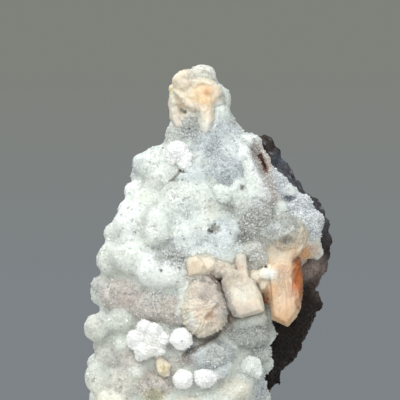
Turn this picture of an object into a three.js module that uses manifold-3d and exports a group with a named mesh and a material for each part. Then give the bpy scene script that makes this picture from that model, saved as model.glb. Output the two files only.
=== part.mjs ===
// Apophyllite cluster: a knobbly druse grown over the front of a broken piece of basalt and
// up into a slender finger, with peach stilbite sheaves and small white puffballs on it.
// Millimetres, +Z up, the front towards -Y, the origin under the middle of the box.

import * as THREE from "three";
import { ConvexGeometry } from "three/addons/geometries/ConvexGeometry.js";
import { ImprovedNoise } from "three/addons/math/ImprovedNoise.js";
import { mergeVertices } from "three/addons/utils/BufferGeometryUtils.js";
import Module from "manifold-3d";

const wasm = await Module();
wasm.setup();

// ---- Driving dimensions ---------------------------------------------------------------

const FINGER_TOP = 93; // top ring of the druse's core; the cap mound stands 1 mm above it
const SEAT_GAP = 0.32; // between a crystal and the surface that it grew on
const RING_SIDES = 22; // corners round each level ring of the stone
const CORE_SIDES = 18; // corners round each level ring of the druse's core
const CORE_SQUARENESS = 2.5; // 2 is an ellipse, more is nearer a rectangle
const MOUND_SINK = 0.42; // share of a mound's radius that lies inside the core's front
const MOUND_ROUGHNESS = 0.09; // share of a mound's radius that its skin wanders by
const BIG_MOUND = 4.8; // radius from which a mound gets the finer ball
const FRAGMENT_CORNERS = 13;
const GOLDEN_ANGLE = Math.PI * (3 - Math.sqrt(5));
const NOISE_STEP = 3.7; // keeps the noise lookups off whole numbers, where the noise is 0

// ---- Tables of the natural forms ------------------------------------------------------

// The stone's level rings: height, reach to the left and right, to the front and the back.
const BASALT_LEVELS = [
  { z: 0, left: -19, right: 13, front: -5, back: 15 },
  { z: 10, left: -21.5, right: 15.8, front: -5, back: 18 },
  { z: 15, left: -22, right: 17.5, front: -4.5, back: 18.6 },
  { z: 20, left: -22, right: 22.5, front: -4.5, back: 18.4 },
  { z: 25, left: -22.4, right: 24.8, front: -4, back: 18.8 },
  { z: 33, left: -22.4, right: 29.3, front: -4, back: 18.4 },
  { z: 37, left: -22, right: 27, front: -4.5, back: 18.6 },
  { z: 42, left: -21.4, right: 30.6, front: -6, back: 18.4 },
  { z: 47, left: -20, right: 31, front: -7, back: 18 },
  { z: 52, left: -18, right: 31.6, front: -7, back: 18 },
  { z: 60, left: -13.4, right: 27.6, front: -5.5, back: 15.5 },
  { z: 64, left: -11, right: 23.4, front: -4.5, back: 13.5 },
  { z: 68, left: -8, right: 20.4, front: -3.5, back: 12 },
  { z: 72, left: -5, right: 18.2, front: -2, back: 10.5 },
  { z: 75, left: 0.5, right: 16.6, front: -1, back: 8.5 },
  { z: 76.6, left: 6, right: 13, front: 1.5, back: 5.5 },
];

// Lumps of stone that stand out of those rings, and bites broken out of them, as
// [x, y, z, half size].
const BASALT_LUMPS = [
  [28.6, 6, 50, 3.4],
  [26, 3.6, 34.2, 3.6],
  [22.8, 4.6, 28.2, 3.6],
  [19.4, 5, 21.4, 3.6],
  [14.8, 5.6, 14, 3.4],
  [26.6, 8, 43.4, 4.2],
  [24.4, 5, 58.6, 3.4],
  [18.8, 3.4, 66.8, 3.2],
  [14.8, 3.4, 72.4, 3],
  [16, 8, 52, 14.6],
  [-6, 8, 49, 14],
  [15.6, 8, 36, 12.6],
  [-9, 9, 30, 13.4],
  [10, 8, 22, 13],
  [-8, 8, 12, 13.4],
  [5, 12, 41, 12.4],
  [8, 6, 66, 10],
  [2, 11, 13, 11],
];
const BASALT_BITES = [
  [30.4, 11, 38, 3.4],
  [22, 21.6, 31, 5.4],
  [-16.6, 21.4, 40, 6.4],
  [-14, 23.6, 22, 6],
  [13.6, 18.6, 61, 6],
];

// The druse's core, which the mounds stand on, in the same terms.
const CORE_LEVELS = [
  { z: 0, left: -25, right: 11.5, front: -14, back: 3 },
  { z: 6, left: -26.5, right: 13, front: -16.5, back: 3 },
  { z: 20, left: -27.2, right: 14, front: -19, back: 3 },
  { z: 27, left: -27, right: 14.5, front: -19.5, back: 3 },
  { z: 38, left: -26.2, right: 20.5, front: -19.5, back: 3 },
  { z: 48, left: -24, right: 25, front: -18.5, back: 3 },
  { z: 54, left: -20.5, right: 24.5, front: -16.5, back: 3 },
  { z: 60, left: -18, right: 20.5, front: -14, back: 3 },
  { z: 65, left: -16, right: 16.8, front: -11.5, back: 4 },
  { z: 70, left: -13, right: 14, front: -9, back: 6 },
  { z: 74.5, left: -9, right: 11, front: -7, back: 7 },
  { z: 78, left: -7.6, right: 7.4, front: -5.6, back: 6 },
  { z: 82, left: -6.4, right: 6.3, front: -4.8, back: 5 },
  { z: 86, left: -5.8, right: 5, front: -4.2, back: 4.4 },
  { z: 90, left: -5.4, right: 2.4, front: -3.2, back: 3.4 },
  { z: FINGER_TOP, left: -3.4, right: 0, front: -1.2, back: 1.6 },
];

// The mounds of the druse as [x, z, radius], and y where one doesn't stand on the core's front.
const MOUNDS = {
  finger: [
    [-1.8, 90.8, 3.3, 0],
    [-4.6, 89.6, 2.8, 0.2],
    [0.8, 90, 2.7, 0.6],
    [2.8, 87.2, 2.5, 0.2],
    [4, 83.4, 2.7, -0.4],
    [5, 79.6, 3.1, -1.6],
    [-6.6, 79.2, 2.8, -0.4],
    [0.8, 84, 3.6, 2.6],
    [-2.6, 79.4, 3.6, 3.4],
  ],
  neck: [
    [-7.2, 76.4, 3.4],
    [0.4, 75.2, 4.4],
    [6.8, 73.2, 4],
    [10.6, 73.2, 2.6],
    [-8.4, 73.4, 2.6],
    [-1.6, 69.4, 3.6],
    [7.2, 77, 3, 0.6],
    [-5.4, 75.6, 3.8, 4.6],
    [2.2, 76.8, 4, 4.8],
  ],
  upperLeft: [
    [-13.2, 68.8, 4.5],
    [-16, 66, 3.2],
    [-10.8, 65, 3.4],
    [-17, 62.2, 3],
    [-18.3, 58, 2.9],
    [-19.4, 54.4, 3.4],
    [-13.7, 58.9, 3.7],
  ],
  heart: [
    [-3.5, 63.8, 5],
    [0, 59.8, 4.6],
    [-6.8, 58.4, 5.4],
    [3.4, 66, 3.6],
    [8.7, 68.6, 3.5],
    [9, 57, 4],
    [13.4, 59, 4.2],
    [13.6, 53.6, 4],
    [7.6, 52.2, 3.8],
    [11.6, 48.4, 3.6],
    [0.4, 53, 5],
    [-4.8, 51.6, 4.3],
    [2.6, 48.8, 4.2],
    [-11.3, 53, 5.2],
    [-17.4, 51.8, 4.6],
    [-22.4, 45.8, 4.7],
    [-17.2, 45.4, 4.9],
    [-10.2, 42, 6],
  ],
  ridge: [
    [13, 64.8, 2],
    [14.8, 62.4, 2.1],
    [16.8, 60.2, 2.3],
    [18.6, 57.8, 2.6],
  ],
  mauveBand: [
    [-24.6, 38.8, 3.4],
    [-18.6, 35.2, 4.6],
    [-13.6, 34.2, 4.2],
    [-8.6, 33.8, 4.4],
  ],
  lowerLeft: [
    [-25.2, 28.9, 4],
    [-21.4, 30, 3.9],
    [-23.6, 24.8, 4.4],
    [-19.8, 24, 3.8],
    [-25.8, 16.6, 4],
    [-22.2, 15.4, 4.8],
    [-16.8, 17.4, 4.4],
    [-20.6, 10.6, 5],
    [-13.4, 13.2, 4.2],
    [-9.8, 9.8, 4.6],
  ],
  lowerRight: [
    [-0.8, 21.6, 5.8],
    [4.4, 23.2, 4.2],
    [8.7, 27.6, 4.2],
    [12.2, 29.8, 3.6],
    [12.2, 22.6, 3.2],
    [10.4, 17.6, 3.8],
    [8.8, 13.4, 4],
    [22.4, 46.4, 3.6, -9],
    [21, 40.6, 3.6, -9],
    [18.2, 34.4, 3.6, -9],
    [14.8, 26.8, 3.6, -7.4],
    [14.2, 19.4, 3.4, -6.6],
    [13.2, 10.6, 3.8, -6.4],
    [4.8, 10.4, 4.2],
    [0.6, 9.6, 4.4],
  ],
  foot: [
    [-23.6, 4.6, 5],
    [-15.6, 4.2, 5],
    [-6.4, 4.4, 5.2],
    [2, 5, 5],
    [8.6, 4.8, 4.4],
  ],
  leftFlank: [
    [-25.2, 10, 4.4, -0.6],
    [-25.8, 19, 4.2, -0.4],
    [-25.8, 28, 4.4, -0.6],
    [-25, 37, 4.4, -0.4],
    [-23.6, 45, 4.4, -0.6],
  ],
  overBasalt: [
    [17.4, 65, 2.7, -3.4],
    [20.4, 61.6, 3.2, -5],
    [24, 58.6, 3.4, -6],
    [26.6, 54.6, 3.6, -6.4],
    [23, 54.6, 4, -8],
    [26.4, 50.4, 3, -7.6],
    [27.6, 47, 2.6, -6.6],
  ],
};

// The open fold behind the ridge, as an ellipsoid taken out of the druse.
const FOLD = { at: [15.2, -6.6, 65.6], half: [1.5, 4, 5.4], lean: 0.3 };

// White puffballs, each a group of balls as [x, z, radius].
const PUFFBALLS = {
  puffball_neck: [
    [-6.6, 71.8, 3],
    [-4.9, 69.4, 1.9],
  ],
  puffball_small: [
    [4.6, 61.2, 2.1],
    [3.4, 62.2, 1.4],
  ],
  puffball_cluster: [
    [-17.2, 25.6, 2.9],
    [-13.2, 27.2, 2.9],
    [-14.6, 22.9, 2.9],
    [-11.4, 24, 2.5],
    [-15.6, 28.6, 1.8],
  ],
  puffball_round: [[-5.5, 25.4, 3.3]],
  puffball_low_left: [[-5.9, 15.2, 2.8]],
  puffball_low_middle: [
    [0.4, 15.6, 3.4],
    [4.2, 18, 2.7],
  ],
  puffball_low_right: [[11.4, 18.4, 2.7]],
};
const PUFF_PROUD = 0.1; // share of a puffball's radius that its centre stands above the druse
const SPHERULE = { x: -11.4, z: 17.8, radius: 2.2, pitRadius: 1.1 };

// The cream stilbite wrapped round the finger, as ellipsoids: centre, half sizes, lean in x-z.
const FINGER_LUMPS = [
  { at: [-6.2, -2.6, 89.2], half: [2.8, 2.6, 3], lean: 0 },
  { at: [-7, -2.4, 86.2], half: [1.7, 2.2, 2.4], lean: 0 },
  { at: [-7.3, -3, 82.6], half: [1.2, 1.6, 3.6], lean: 0.05 },
  { at: [-7, -3.4, 79.4], half: [1.5, 1.7, 1.7], lean: 0 },
  { at: [-4.6, -4.6, 85.2], half: [1.4, 1.8, 4.2], lean: 0.75 },
  { at: [0.2, -4.4, 86], half: [3.8, 2.4, 2.9], lean: 0 },
  { at: [2.9, -3.8, 84.8], half: [1.9, 2, 3], lean: 0 },
  { at: [0, -5, 82], half: [2.6, 1.7, 3], lean: -0.2 },
  { at: [1.1, -5, 79.2], half: [1.7, 1.5, 2.4], lean: -0.2 },
];

// Outlines of the stilbite blades as [x, z] corners, seen from the front.
const BLADES = {
  upper: [
    [-5, 44.5], [-4, 45.8], [-2, 46.1], [0.4, 46.2], [2.3, 45.5], [4.2, 44.3], [5.2, 42.6],
    [4.4, 40.6], [2.4, 40.9], [-0.2, 41.2], [-2.6, 40.6], [-4.4, 40.5], [-4.9, 42.4],
  ],
  rosette: [
    [-2.5, 39.8], [0.6, 40.1], [2.8, 38.9], [4.3, 37], [5.2, 34.8], [5.6, 32.4], [4.8, 30],
    [3.2, 28.2], [1.2, 27], [-0.6, 25.6], [-2.4, 26.8], [-4.2, 28.8], [-5.4, 31],
    [-5.3, 33.4], [-4.8, 35.8], [-4.4, 38.2],
  ],
  centre: [
    [4.6, 38.6], [4.6, 40.4], [5.9, 41.6], [7.6, 42], [9.8, 40.8], [12.4, 39], [13.7, 36.8],
    [14.7, 32.3], [12, 31.6], [9, 30.6], [7.2, 31.2], [6.4, 33], [5.8, 35.4],
  ],
  sprout: [
    [7.6, 40], [7.9, 43], [8, 46], [8.8, 46.8], [9.8, 46.4], [10.3, 44], [10.8, 40.4],
  ],
  point: [
    [15.6, 39.2], [17.6, 41], [22.2, 41], [23.8, 37.8], [24.2, 35], [23.9, 33],
    [22.7, 30.7], [20.7, 28.2], [18.4, 29], [16.8, 30.1], [16.5, 32.6], [16.2, 35.4],
  ],
  edge: [
    [22.8, 45.2], [24.4, 45.8], [25, 42.4], [25, 37.6], [24.4, 35.2], [23.4, 37.2],
  ],
  splinters: [
    [13.4, 40.8], [16.6, 41.4], [17, 33], [16, 32.2], [15.6, 34], [15, 33.6], [14.6, 36.4],
  ],
};

// Corners of the front faces of the two crystals that bulge, as [x, z].
const FACES = {
  rosette: [[-2.2, 37.4], [1.4, 37.4], [3, 34.6], [2.4, 30.8], [0.2, 28.6], [-2.6, 31], [-3.2, 34.4]],
  point: [[17.6, 38.6], [20.6, 39.6], [20.9, 33.4], [20.3, 30.6], [18.4, 31.4], [17.4, 34.4]],
};

// The bow-tie's upper half: blades that spread from its waist to a rounded head.
const FAN = {
  waist: [19.4, -17, 40.6],
  halfWaist: 2.4,
  length: 13.6,
  spread: 0.46, // lean of the outermost blades, radians from straight up
  blades: 7,
  halfBlade: 2.2,
  halfThickness: 2.1,
  head: { at: [20.2, -16.6, 51], half: [5.5, 4.2, 4.6] },
};

// ---- Solids ---------------------------------------------------------------------------

const noise = new ImprovedNoise();

/** A smooth value from -1 to 1 at a point, for features about `size` mm across. */
function wander(x, y, z, size) {
  return noise.noise(x / size + NOISE_STEP, y / size - NOISE_STEP, z / size + NOISE_STEP / 2);
}

/** A closed geometry as a manifold-3d solid. */
function toSolid(geometry) {
  const bare = new THREE.BufferGeometry();
  bare.setAttribute("position", geometry.getAttribute("position"));
  if (geometry.index) bare.setIndex(geometry.index);
  const merged = mergeVertices(bare, 1e-4);
  return new wasm.Manifold(
    new wasm.Mesh({
      numProp: 3,
      vertProperties: new Float32Array(merged.getAttribute("position").array),
      triVerts: new Uint32Array(merged.index.array),
    }),
  );
}

/** A manifold-3d solid as flat-shaded geometry. */
function toGeometry(solid) {
  const mesh = solid.getMesh();
  const geometry = new THREE.BufferGeometry();
  geometry.setAttribute("position", new THREE.BufferAttribute(mesh.vertProperties, 3));
  geometry.setIndex(new THREE.BufferAttribute(mesh.triVerts, 1));
  const flat = geometry.toNonIndexed();
  flat.computeVertexNormals();
  return flat;
}

/** Joins a list of solids. */
function joined(solids) {
  return solids.reduce((whole, next) => whole.add(next));
}

/** The half width, half depth and centre of a level ring. */
function ringOf({ left, right, front, back }) {
  return {
    x: (left + right) / 2,
    y: (front + back) / 2,
    halfWidth: (right - left) / 2,
    halfDepth: (back - front) / 2,
  };
}

/** One closed body through level rings, its walls roughened by noise. */
function loft(levels, { sides, squareness, roughness, grain, grow = 0 }) {
  const positions = [];
  const faces = [];
  const power = 2 / squareness;
  levels.forEach((level, row) => {
    const ring = ringOf(level);
    const z = level.z + (row === levels.length - 1 ? grow : 0);
    for (let i = 0; i < sides; i++) {
      const angle = (i / sides) * 2 * Math.PI;
      const c = Math.cos(angle);
      const s = Math.sin(angle);
      const x = ring.x + ring.halfWidth * Math.sign(c) * Math.abs(c) ** power;
      const y = ring.y + ring.halfDepth * Math.sign(s) * Math.abs(s) ** power;
      const fine = 0.5 * wander(x, y, level.z, grain / 2.3);
      const out = grow + roughness * (wander(x, y, level.z, grain) + fine);
      positions.push(x + out * c, y + out * s, z);
    }
  });
  const under = positions.length / 3;
  const first = ringOf(levels[0]);
  const last = ringOf(levels.at(-1));
  positions.push(first.x, first.y, levels[0].z);
  positions.push(last.x, last.y, levels.at(-1).z + 0.4 + grow);
  for (let row = 0; row < levels.length - 1; row++) {
    for (let i = 0; i < sides; i++) {
      const a = row * sides + i;
      const b = row * sides + ((i + 1) % sides);
      faces.push(a, b, b + sides, a, b + sides, a + sides);
    }
  }
  const topRow = (levels.length - 1) * sides;
  for (let i = 0; i < sides; i++) {
    const next = (i + 1) % sides;
    faces.push(under, next, i, under + 1, topRow + i, topRow + next);
  }
  const geometry = new THREE.BufferGeometry();
  geometry.setAttribute("position", new THREE.Float32BufferAttribute(positions, 3));
  geometry.setIndex(faces);
  return toSolid(geometry);
}

/** A rough ball of mineral; `grow` is added to its radius and a coarse one has 32 faces. */
function ball([x, y, z], radius, { coarse = false, roughness = MOUND_ROUGHNESS, grow = 0 } = {}) {
  const shape = coarse ? new THREE.OctahedronGeometry(1, 1) : new THREE.IcosahedronGeometry(1, 1);
  const geometry = mergeVertices(shape.deleteAttribute("uv").deleteAttribute("normal"), 1e-4);
  geometry.rotateX(x);
  geometry.rotateY(z);
  const points = geometry.getAttribute("position");
  for (let i = 0; i < points.count; i++) {
    const way = new THREE.Vector3().fromBufferAttribute(points, i).normalize();
    const bump = wander(x + way.x * radius, y + way.y * radius, z + way.z * radius, radius * 0.7);
    way.multiplyScalar(radius * (1 + roughness * 1.8 * bump) + grow);
    points.setXYZ(i, x + way.x, y + way.y, z + way.z);
  }
  return toSolid(geometry);
}

/** An ellipsoid with half sizes along x, y and z, leant in the x-z plane. */
function ellipsoid(at, half, lean) {
  const geometry = new THREE.OctahedronGeometry(1, 1);
  geometry.scale(...half);
  geometry.rotateY(-lean);
  geometry.translate(...at);
  return toSolid(geometry);
}

/** The middle of a list of [x, z] corners. */
function centreOf(corners) {
  const sum = corners.reduce(([sx, sz], [x, z]) => [sx + x, sz + z], [0, 0]);
  return sum.map((value) => value / corners.length);
}

/** A slab cut to an outline seen from the front; `front` is how far forward its face stands. */
function blade(outline, { front, thickness, bevel, lean = 0, turn = 0, grow = 0 }) {
  const [cx, cz] = centreOf(outline);
  const corners = outline.map(([x, z]) => {
    const out = new THREE.Vector2(x - cx, z - cz);
    return out.setLength(out.length() + grow);
  });
  const geometry = new THREE.ExtrudeGeometry(new THREE.Shape(corners), {
    depth: thickness - 2 * bevel + 2 * grow,
    bevelEnabled: true,
    bevelThickness: bevel,
    bevelSize: bevel,
    bevelOffset: -bevel,
    bevelSegments: 1,
  });
  geometry.rotateX(Math.PI / 2);
  geometry.translate(0, thickness / 2 - bevel + grow, 0);
  geometry.rotateX(lean);
  geometry.rotateZ(turn);
  geometry.translate(cx, front + thickness / 2, cz);
  return toSolid(geometry);
}

/** A crystal between an outline and a smaller front face; `front` is where that face stands. */
function bulging(outline, face, { front, thickness, rim, lean = 0, turn = 0, grow = 0 }) {
  const [cx, cz] = centreOf(face);
  const points = [];
  const add = ([x, z], y) => {
    const out = new THREE.Vector3(x - cx, y, z - cz);
    points.push(out.setLength(out.length() + 1.6 * grow));
  };
  for (const corner of outline) {
    add(corner, thickness / 2);
    add(corner, thickness / 2 - rim);
  }
  for (const corner of face) add(corner, -thickness / 2);
  const geometry = new ConvexGeometry(points);
  geometry.rotateX(lean);
  geometry.rotateZ(turn);
  geometry.translate(cx, front + thickness / 2, cz);
  return toSolid(geometry);
}

/** A flat box of stone below the base, taken off so that the cluster stands. */
function belowBase() {
  const geometry = new THREE.BoxGeometry(200, 200, 50);
  geometry.translate(0, 0, -25);
  return toSolid(geometry);
}

// ---- The stone and the druse ----------------------------------------------------------

/** A flat-faced fragment, its corners spread evenly round an uneven ball. */
function fragment([x, y, z, half], grow = 0) {
  const corners = [];
  for (let i = 0; i < FRAGMENT_CORNERS; i++) {
    const up = 1 - (2 * i + 1) / FRAGMENT_CORNERS;
    const turn = i * GOLDEN_ANGLE + x + z;
    const flat = Math.sqrt(1 - up ** 2);
    const way = new THREE.Vector3(flat * Math.cos(turn), flat * Math.sin(turn), up);
    const reach = half * (1 + 0.22 * wander(x + 3 * way.x, y + 3 * way.y, z + 3 * way.z, 2.1)) + grow;
    corners.push(way.multiplyScalar(reach).add(new THREE.Vector3(x, y, z)));
  }
  return toSolid(new ConvexGeometry(corners));
}

/** The stone before any bite is out of it. */
function basaltOutside(grow = 0) {
  const rings = { sides: RING_SIDES, squareness: 2.5, roughness: 1.5, grain: 6.5, grow };
  return joined([loft(BASALT_LEVELS, rings), ...BASALT_LUMPS.map((lump) => fragment(lump, grow))]);
}

/** The broken basalt behind the druse, cut flat at the base. */
function basalt() {
  return basaltOutside().subtract(joined(BASALT_BITES.map((bite) => fragment(bite)))).subtract(belowBase());
}

/** How far forward the druse's core reaches at a point seen from the front. */
function coreFront(x, z) {
  const above = Math.max(1, CORE_LEVELS.findIndex((level) => level.z >= z));
  const low = CORE_LEVELS[above - 1];
  const high = CORE_LEVELS[above];
  const share = THREE.MathUtils.clamp((z - low.z) / (high.z - low.z), 0, 1);
  const between = (key) => THREE.MathUtils.lerp(low[key], high[key], share);
  const keys = ["left", "right", "front", "back"];
  const ring = ringOf(Object.fromEntries(keys.map((key) => [key, between(key)])));
  const across = THREE.MathUtils.clamp((x - ring.x) / ring.halfWidth, -1, 1);
  return ring.y - ring.halfDepth * (1 - Math.abs(across) ** CORE_SQUARENESS) ** (1 / CORE_SQUARENESS);
}

/** Every mound of the druse as solids. */
function mounds(grow) {
  return Object.values(MOUNDS).flat().map(([x, z, radius, y]) => {
    const depth = y ?? coreFront(x, z) + radius * MOUND_SINK;
    return ball([x, depth, z], radius, { coarse: radius < BIG_MOUND, grow });
  });
}

/** The druse before the stone is taken out of it. */
function druseOutside(grow = 0) {
  const rings = { sides: CORE_SIDES, squareness: CORE_SQUARENESS, roughness: 0.7, grain: 5, grow };
  return joined([loft(CORE_LEVELS, rings), ...mounds(grow)]);
}

/** The druse, seated on the stone, with the open fold behind its ridge. */
function druse() {
  const fold = ellipsoid(FOLD.at, FOLD.half, FOLD.lean);
  return druseOutside().subtract(basaltOutside(SEAT_GAP)).subtract(fold).subtract(belowBase());
}

// ---- What grew on the druse -----------------------------------------------------------

/** One group of white balls. */
function puffball(balls) {
  return joined(
    balls.map(([x, z, radius]) =>
      ball([x, coreFront(x, z) - radius * (PUFF_PROUD + 0.35), z], radius, { roughness: 0.04 }),
    ),
  );
}

/** The cream spherule with a pit in its face. */
function spherule() {
  const { x, z, radius, pitRadius } = SPHERULE;
  const y = coreFront(x, z) - radius * (PUFF_PROUD + 0.6);
  const pit = ball([x + 0.3, y - radius, z - 0.2], pitRadius, { coarse: true });
  return ball([x, y, z], radius).subtract(pit);
}

/** The cream stilbite on the finger. */
function fingerStilbite() {
  return joined(FINGER_LUMPS.map(({ at, half, lean }) => ellipsoid(at, half, lean)));
}

/** One blade of the fan: a wedge that widens from the waist to its tip. */
function fanBlade(lean, backward) {
  const { halfWaist, length, halfBlade, halfThickness } = FAN;
  const points = [];
  for (const side of [-1, 1]) {
    for (const depth of [-1, 1]) {
      points.push(new THREE.Vector3(side * halfWaist * 0.6, depth * halfThickness * 0.8, -0.8));
      points.push(new THREE.Vector3(side * halfBlade, depth * halfThickness, length * 0.8));
      points.push(new THREE.Vector3(side * halfBlade * 0.4, depth * halfThickness * 0.7, length));
    }
  }
  const geometry = new ConvexGeometry(points);
  geometry.rotateX(backward);
  geometry.rotateY(lean);
  geometry.translate(...FAN.waist);
  return toSolid(geometry);
}

/** The upper half of the bow-tie. */
function fan() {
  const blades = [];
  for (let i = 0; i < FAN.blades; i++) {
    const share = (2 * i) / (FAN.blades - 1) - 1;
    blades.push(fanBlade(share * FAN.spread, i % 2 ? -0.12 : 0.06));
  }
  return joined([...blades, ellipsoid(FAN.head.at, FAN.head.half, 0)]);
}

/** The bow-tie: fan above, blunt point below, the dark edge beside it and splinters between. */
function bowTie() {
  return joined([
    fan(),
    bulging(BLADES.point, FACES.point, { front: -20.6, thickness: 6.4, rim: 3.4, lean: 0.08, turn: -0.12 }),
    blade(BLADES.edge, { front: -15.6, thickness: 5, bevel: 0.6 }),
    blade(BLADES.splinters, { front: -18.6, thickness: 3.4, bevel: 0.5 }),
  ]);
}

/** The centre blade with the small upright one behind it. */
function centreBlades(grow = 0) {
  return joined([
    blade(BLADES.centre, { front: -25, thickness: 6.5, bevel: 1.1, lean: -0.1, turn: 0.1, grow }),
    blade(BLADES.sprout, { front: -21.6, thickness: 3.4, bevel: 0.6, grow }),
  ]);
}

/** The round sheaf at the left. */
function rosette(grow = 0) {
  const place = { front: -26.4, thickness: 8, rim: 2.6, lean: 0.1, turn: -0.1, grow };
  return bulging(BLADES.rosette, FACES.rosette, place);
}

/** The low blade above the round sheaf. */
function upperBlade() {
  return blade(BLADES.upper, { front: -22.4, thickness: 5, bevel: 1.1, turn: -0.15 });
}

// ---- The cluster ----------------------------------------------------------------------

const STONE = new THREE.MeshStandardMaterial({ color: 0x3a3432, roughness: 0.85, metalness: 0 });
const DRUSE = new THREE.MeshStandardMaterial({ color: 0xdfe5e4, roughness: 0.4, metalness: 0 });
const WHITE = new THREE.MeshStandardMaterial({ color: 0xf7f8f6, roughness: 0.8, metalness: 0 });
const CREAM = new THREE.MeshStandardMaterial({ color: 0xe9d9b4, roughness: 0.5, metalness: 0 });
const PEACH = new THREE.MeshStandardMaterial({ color: 0xe6bd98, roughness: 0.45, metalness: 0 });
const ORANGE = new THREE.MeshStandardMaterial({ color: 0xe39a68, roughness: 0.4, metalness: 0 });

/** A named mesh of a solid. */
function named(name, solid, material) {
  const mesh = new THREE.Mesh(toGeometry(solid), material);
  mesh.name = name;
  return mesh;
}

const ground = druseOutside(SEAT_GAP); // what every crystal is cut back from
const stoneGround = basaltOutside(SEAT_GAP);
const seated = (solid) => solid.subtract(ground).subtract(stoneGround);

const cluster = new THREE.Group();
cluster.add(named("basalt_matrix", basalt(), STONE));
cluster.add(named("apophyllite_druse", druse(), DRUSE));
cluster.add(named("stilbite_finger_wrap", seated(fingerStilbite()), CREAM));
cluster.add(named("stilbite_bow_tie", seated(bowTie()).subtract(centreBlades(SEAT_GAP)), ORANGE));
cluster.add(named("stilbite_centre_blade", seated(centreBlades()).subtract(rosette(SEAT_GAP)), PEACH));
cluster.add(named("stilbite_rosette", seated(rosette()), PEACH));
const nearBlades = joined([rosette(SEAT_GAP), centreBlades(SEAT_GAP)]);
cluster.add(named("stilbite_upper_blade", seated(upperBlade()).subtract(nearBlades), CREAM));
for (const [name, balls] of Object.entries(PUFFBALLS)) {
  cluster.add(named(name, seated(puffball(balls)).subtract(rosette(SEAT_GAP)), WHITE));
}
cluster.add(named("cream_spherule", seated(spherule()), CREAM));

// The tables are measured from the finger's axis; the origin goes under the middle of the box.
const middle = new THREE.Box3().setFromObject(cluster).getCenter(new THREE.Vector3());
cluster.position.set(-middle.x, -middle.y, 0);

export default cluster;
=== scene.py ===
"""Looks of the apophyllite and stilbite cluster: druse, puffballs, stilbite crystals and stone.

Sizes are in millimetres unless a name says otherwise. Blender gets them in metres.
"""

import logging
import math
from dataclasses import dataclass, field
from enum import Enum
from itertools import product
from typing import ClassVar, Optional, Sequence

import bmesh
import bpy
import numpy as np
from mathutils import Euler, Matrix, Vector
from mathutils.bvhtree import BVHTree


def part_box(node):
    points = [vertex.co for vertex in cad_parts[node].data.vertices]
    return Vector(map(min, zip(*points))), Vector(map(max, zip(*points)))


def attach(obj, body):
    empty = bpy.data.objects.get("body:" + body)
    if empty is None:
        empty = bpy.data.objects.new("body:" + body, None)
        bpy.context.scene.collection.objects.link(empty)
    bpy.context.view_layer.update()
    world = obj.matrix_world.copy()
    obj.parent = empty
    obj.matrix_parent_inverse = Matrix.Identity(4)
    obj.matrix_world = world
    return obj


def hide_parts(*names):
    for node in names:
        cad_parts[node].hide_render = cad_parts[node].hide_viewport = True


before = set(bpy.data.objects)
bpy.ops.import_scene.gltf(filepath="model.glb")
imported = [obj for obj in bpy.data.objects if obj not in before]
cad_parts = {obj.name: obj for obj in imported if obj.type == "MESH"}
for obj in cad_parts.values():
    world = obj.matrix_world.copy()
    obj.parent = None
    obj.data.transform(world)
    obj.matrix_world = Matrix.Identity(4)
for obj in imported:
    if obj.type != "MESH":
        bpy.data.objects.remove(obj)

logging.basicConfig(level=logging.INFO, format="%(levelname)s %(message)s")
log = logging.getLogger("cluster")

MM = 0.001
BODY = "root"
TINT = "tint"  # the colour attribute that every finish reads
GROWN_FROM = np.array((-0.957, 0.929, 0.0))  # from the tables' own origin to the frame's
GOLDEN_ANGLE = math.pi * (3 - math.sqrt(5))
SIGHT = (-2.2, 60.0)  # the middle line of sight, across and up
SIGHT_REACH = 1000.0
BLUNT = 2.7  # how square a lobe's edge is; 2 would be round
LOBE_TURN = 2.4  # makes neighbours in the list of lobes differ
BASE_FADE = 1.2  # the stone's breaks die out over this height above its flat base
BEAD_STEP = 0.35  # how far apart a ridge's balls are, as a share of their radius
SPIKE_ROOT = 0.25  # the share of a small crystal's height that lies inside
NOISE_SPAN = (0.3, 0.7)  # where nearly all values of a shader's noise lie
APOPHYLLITE_IOR = 1.53
PLAIN_IOR = 1.5
Array = np.ndarray
Rows = Sequence[Sequence[float]]  # of numbers, such as a path's corners
Pair = tuple[float, float]
Triple = tuple[float, float, float]
Socket = bpy.types.NodeSocket


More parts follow.
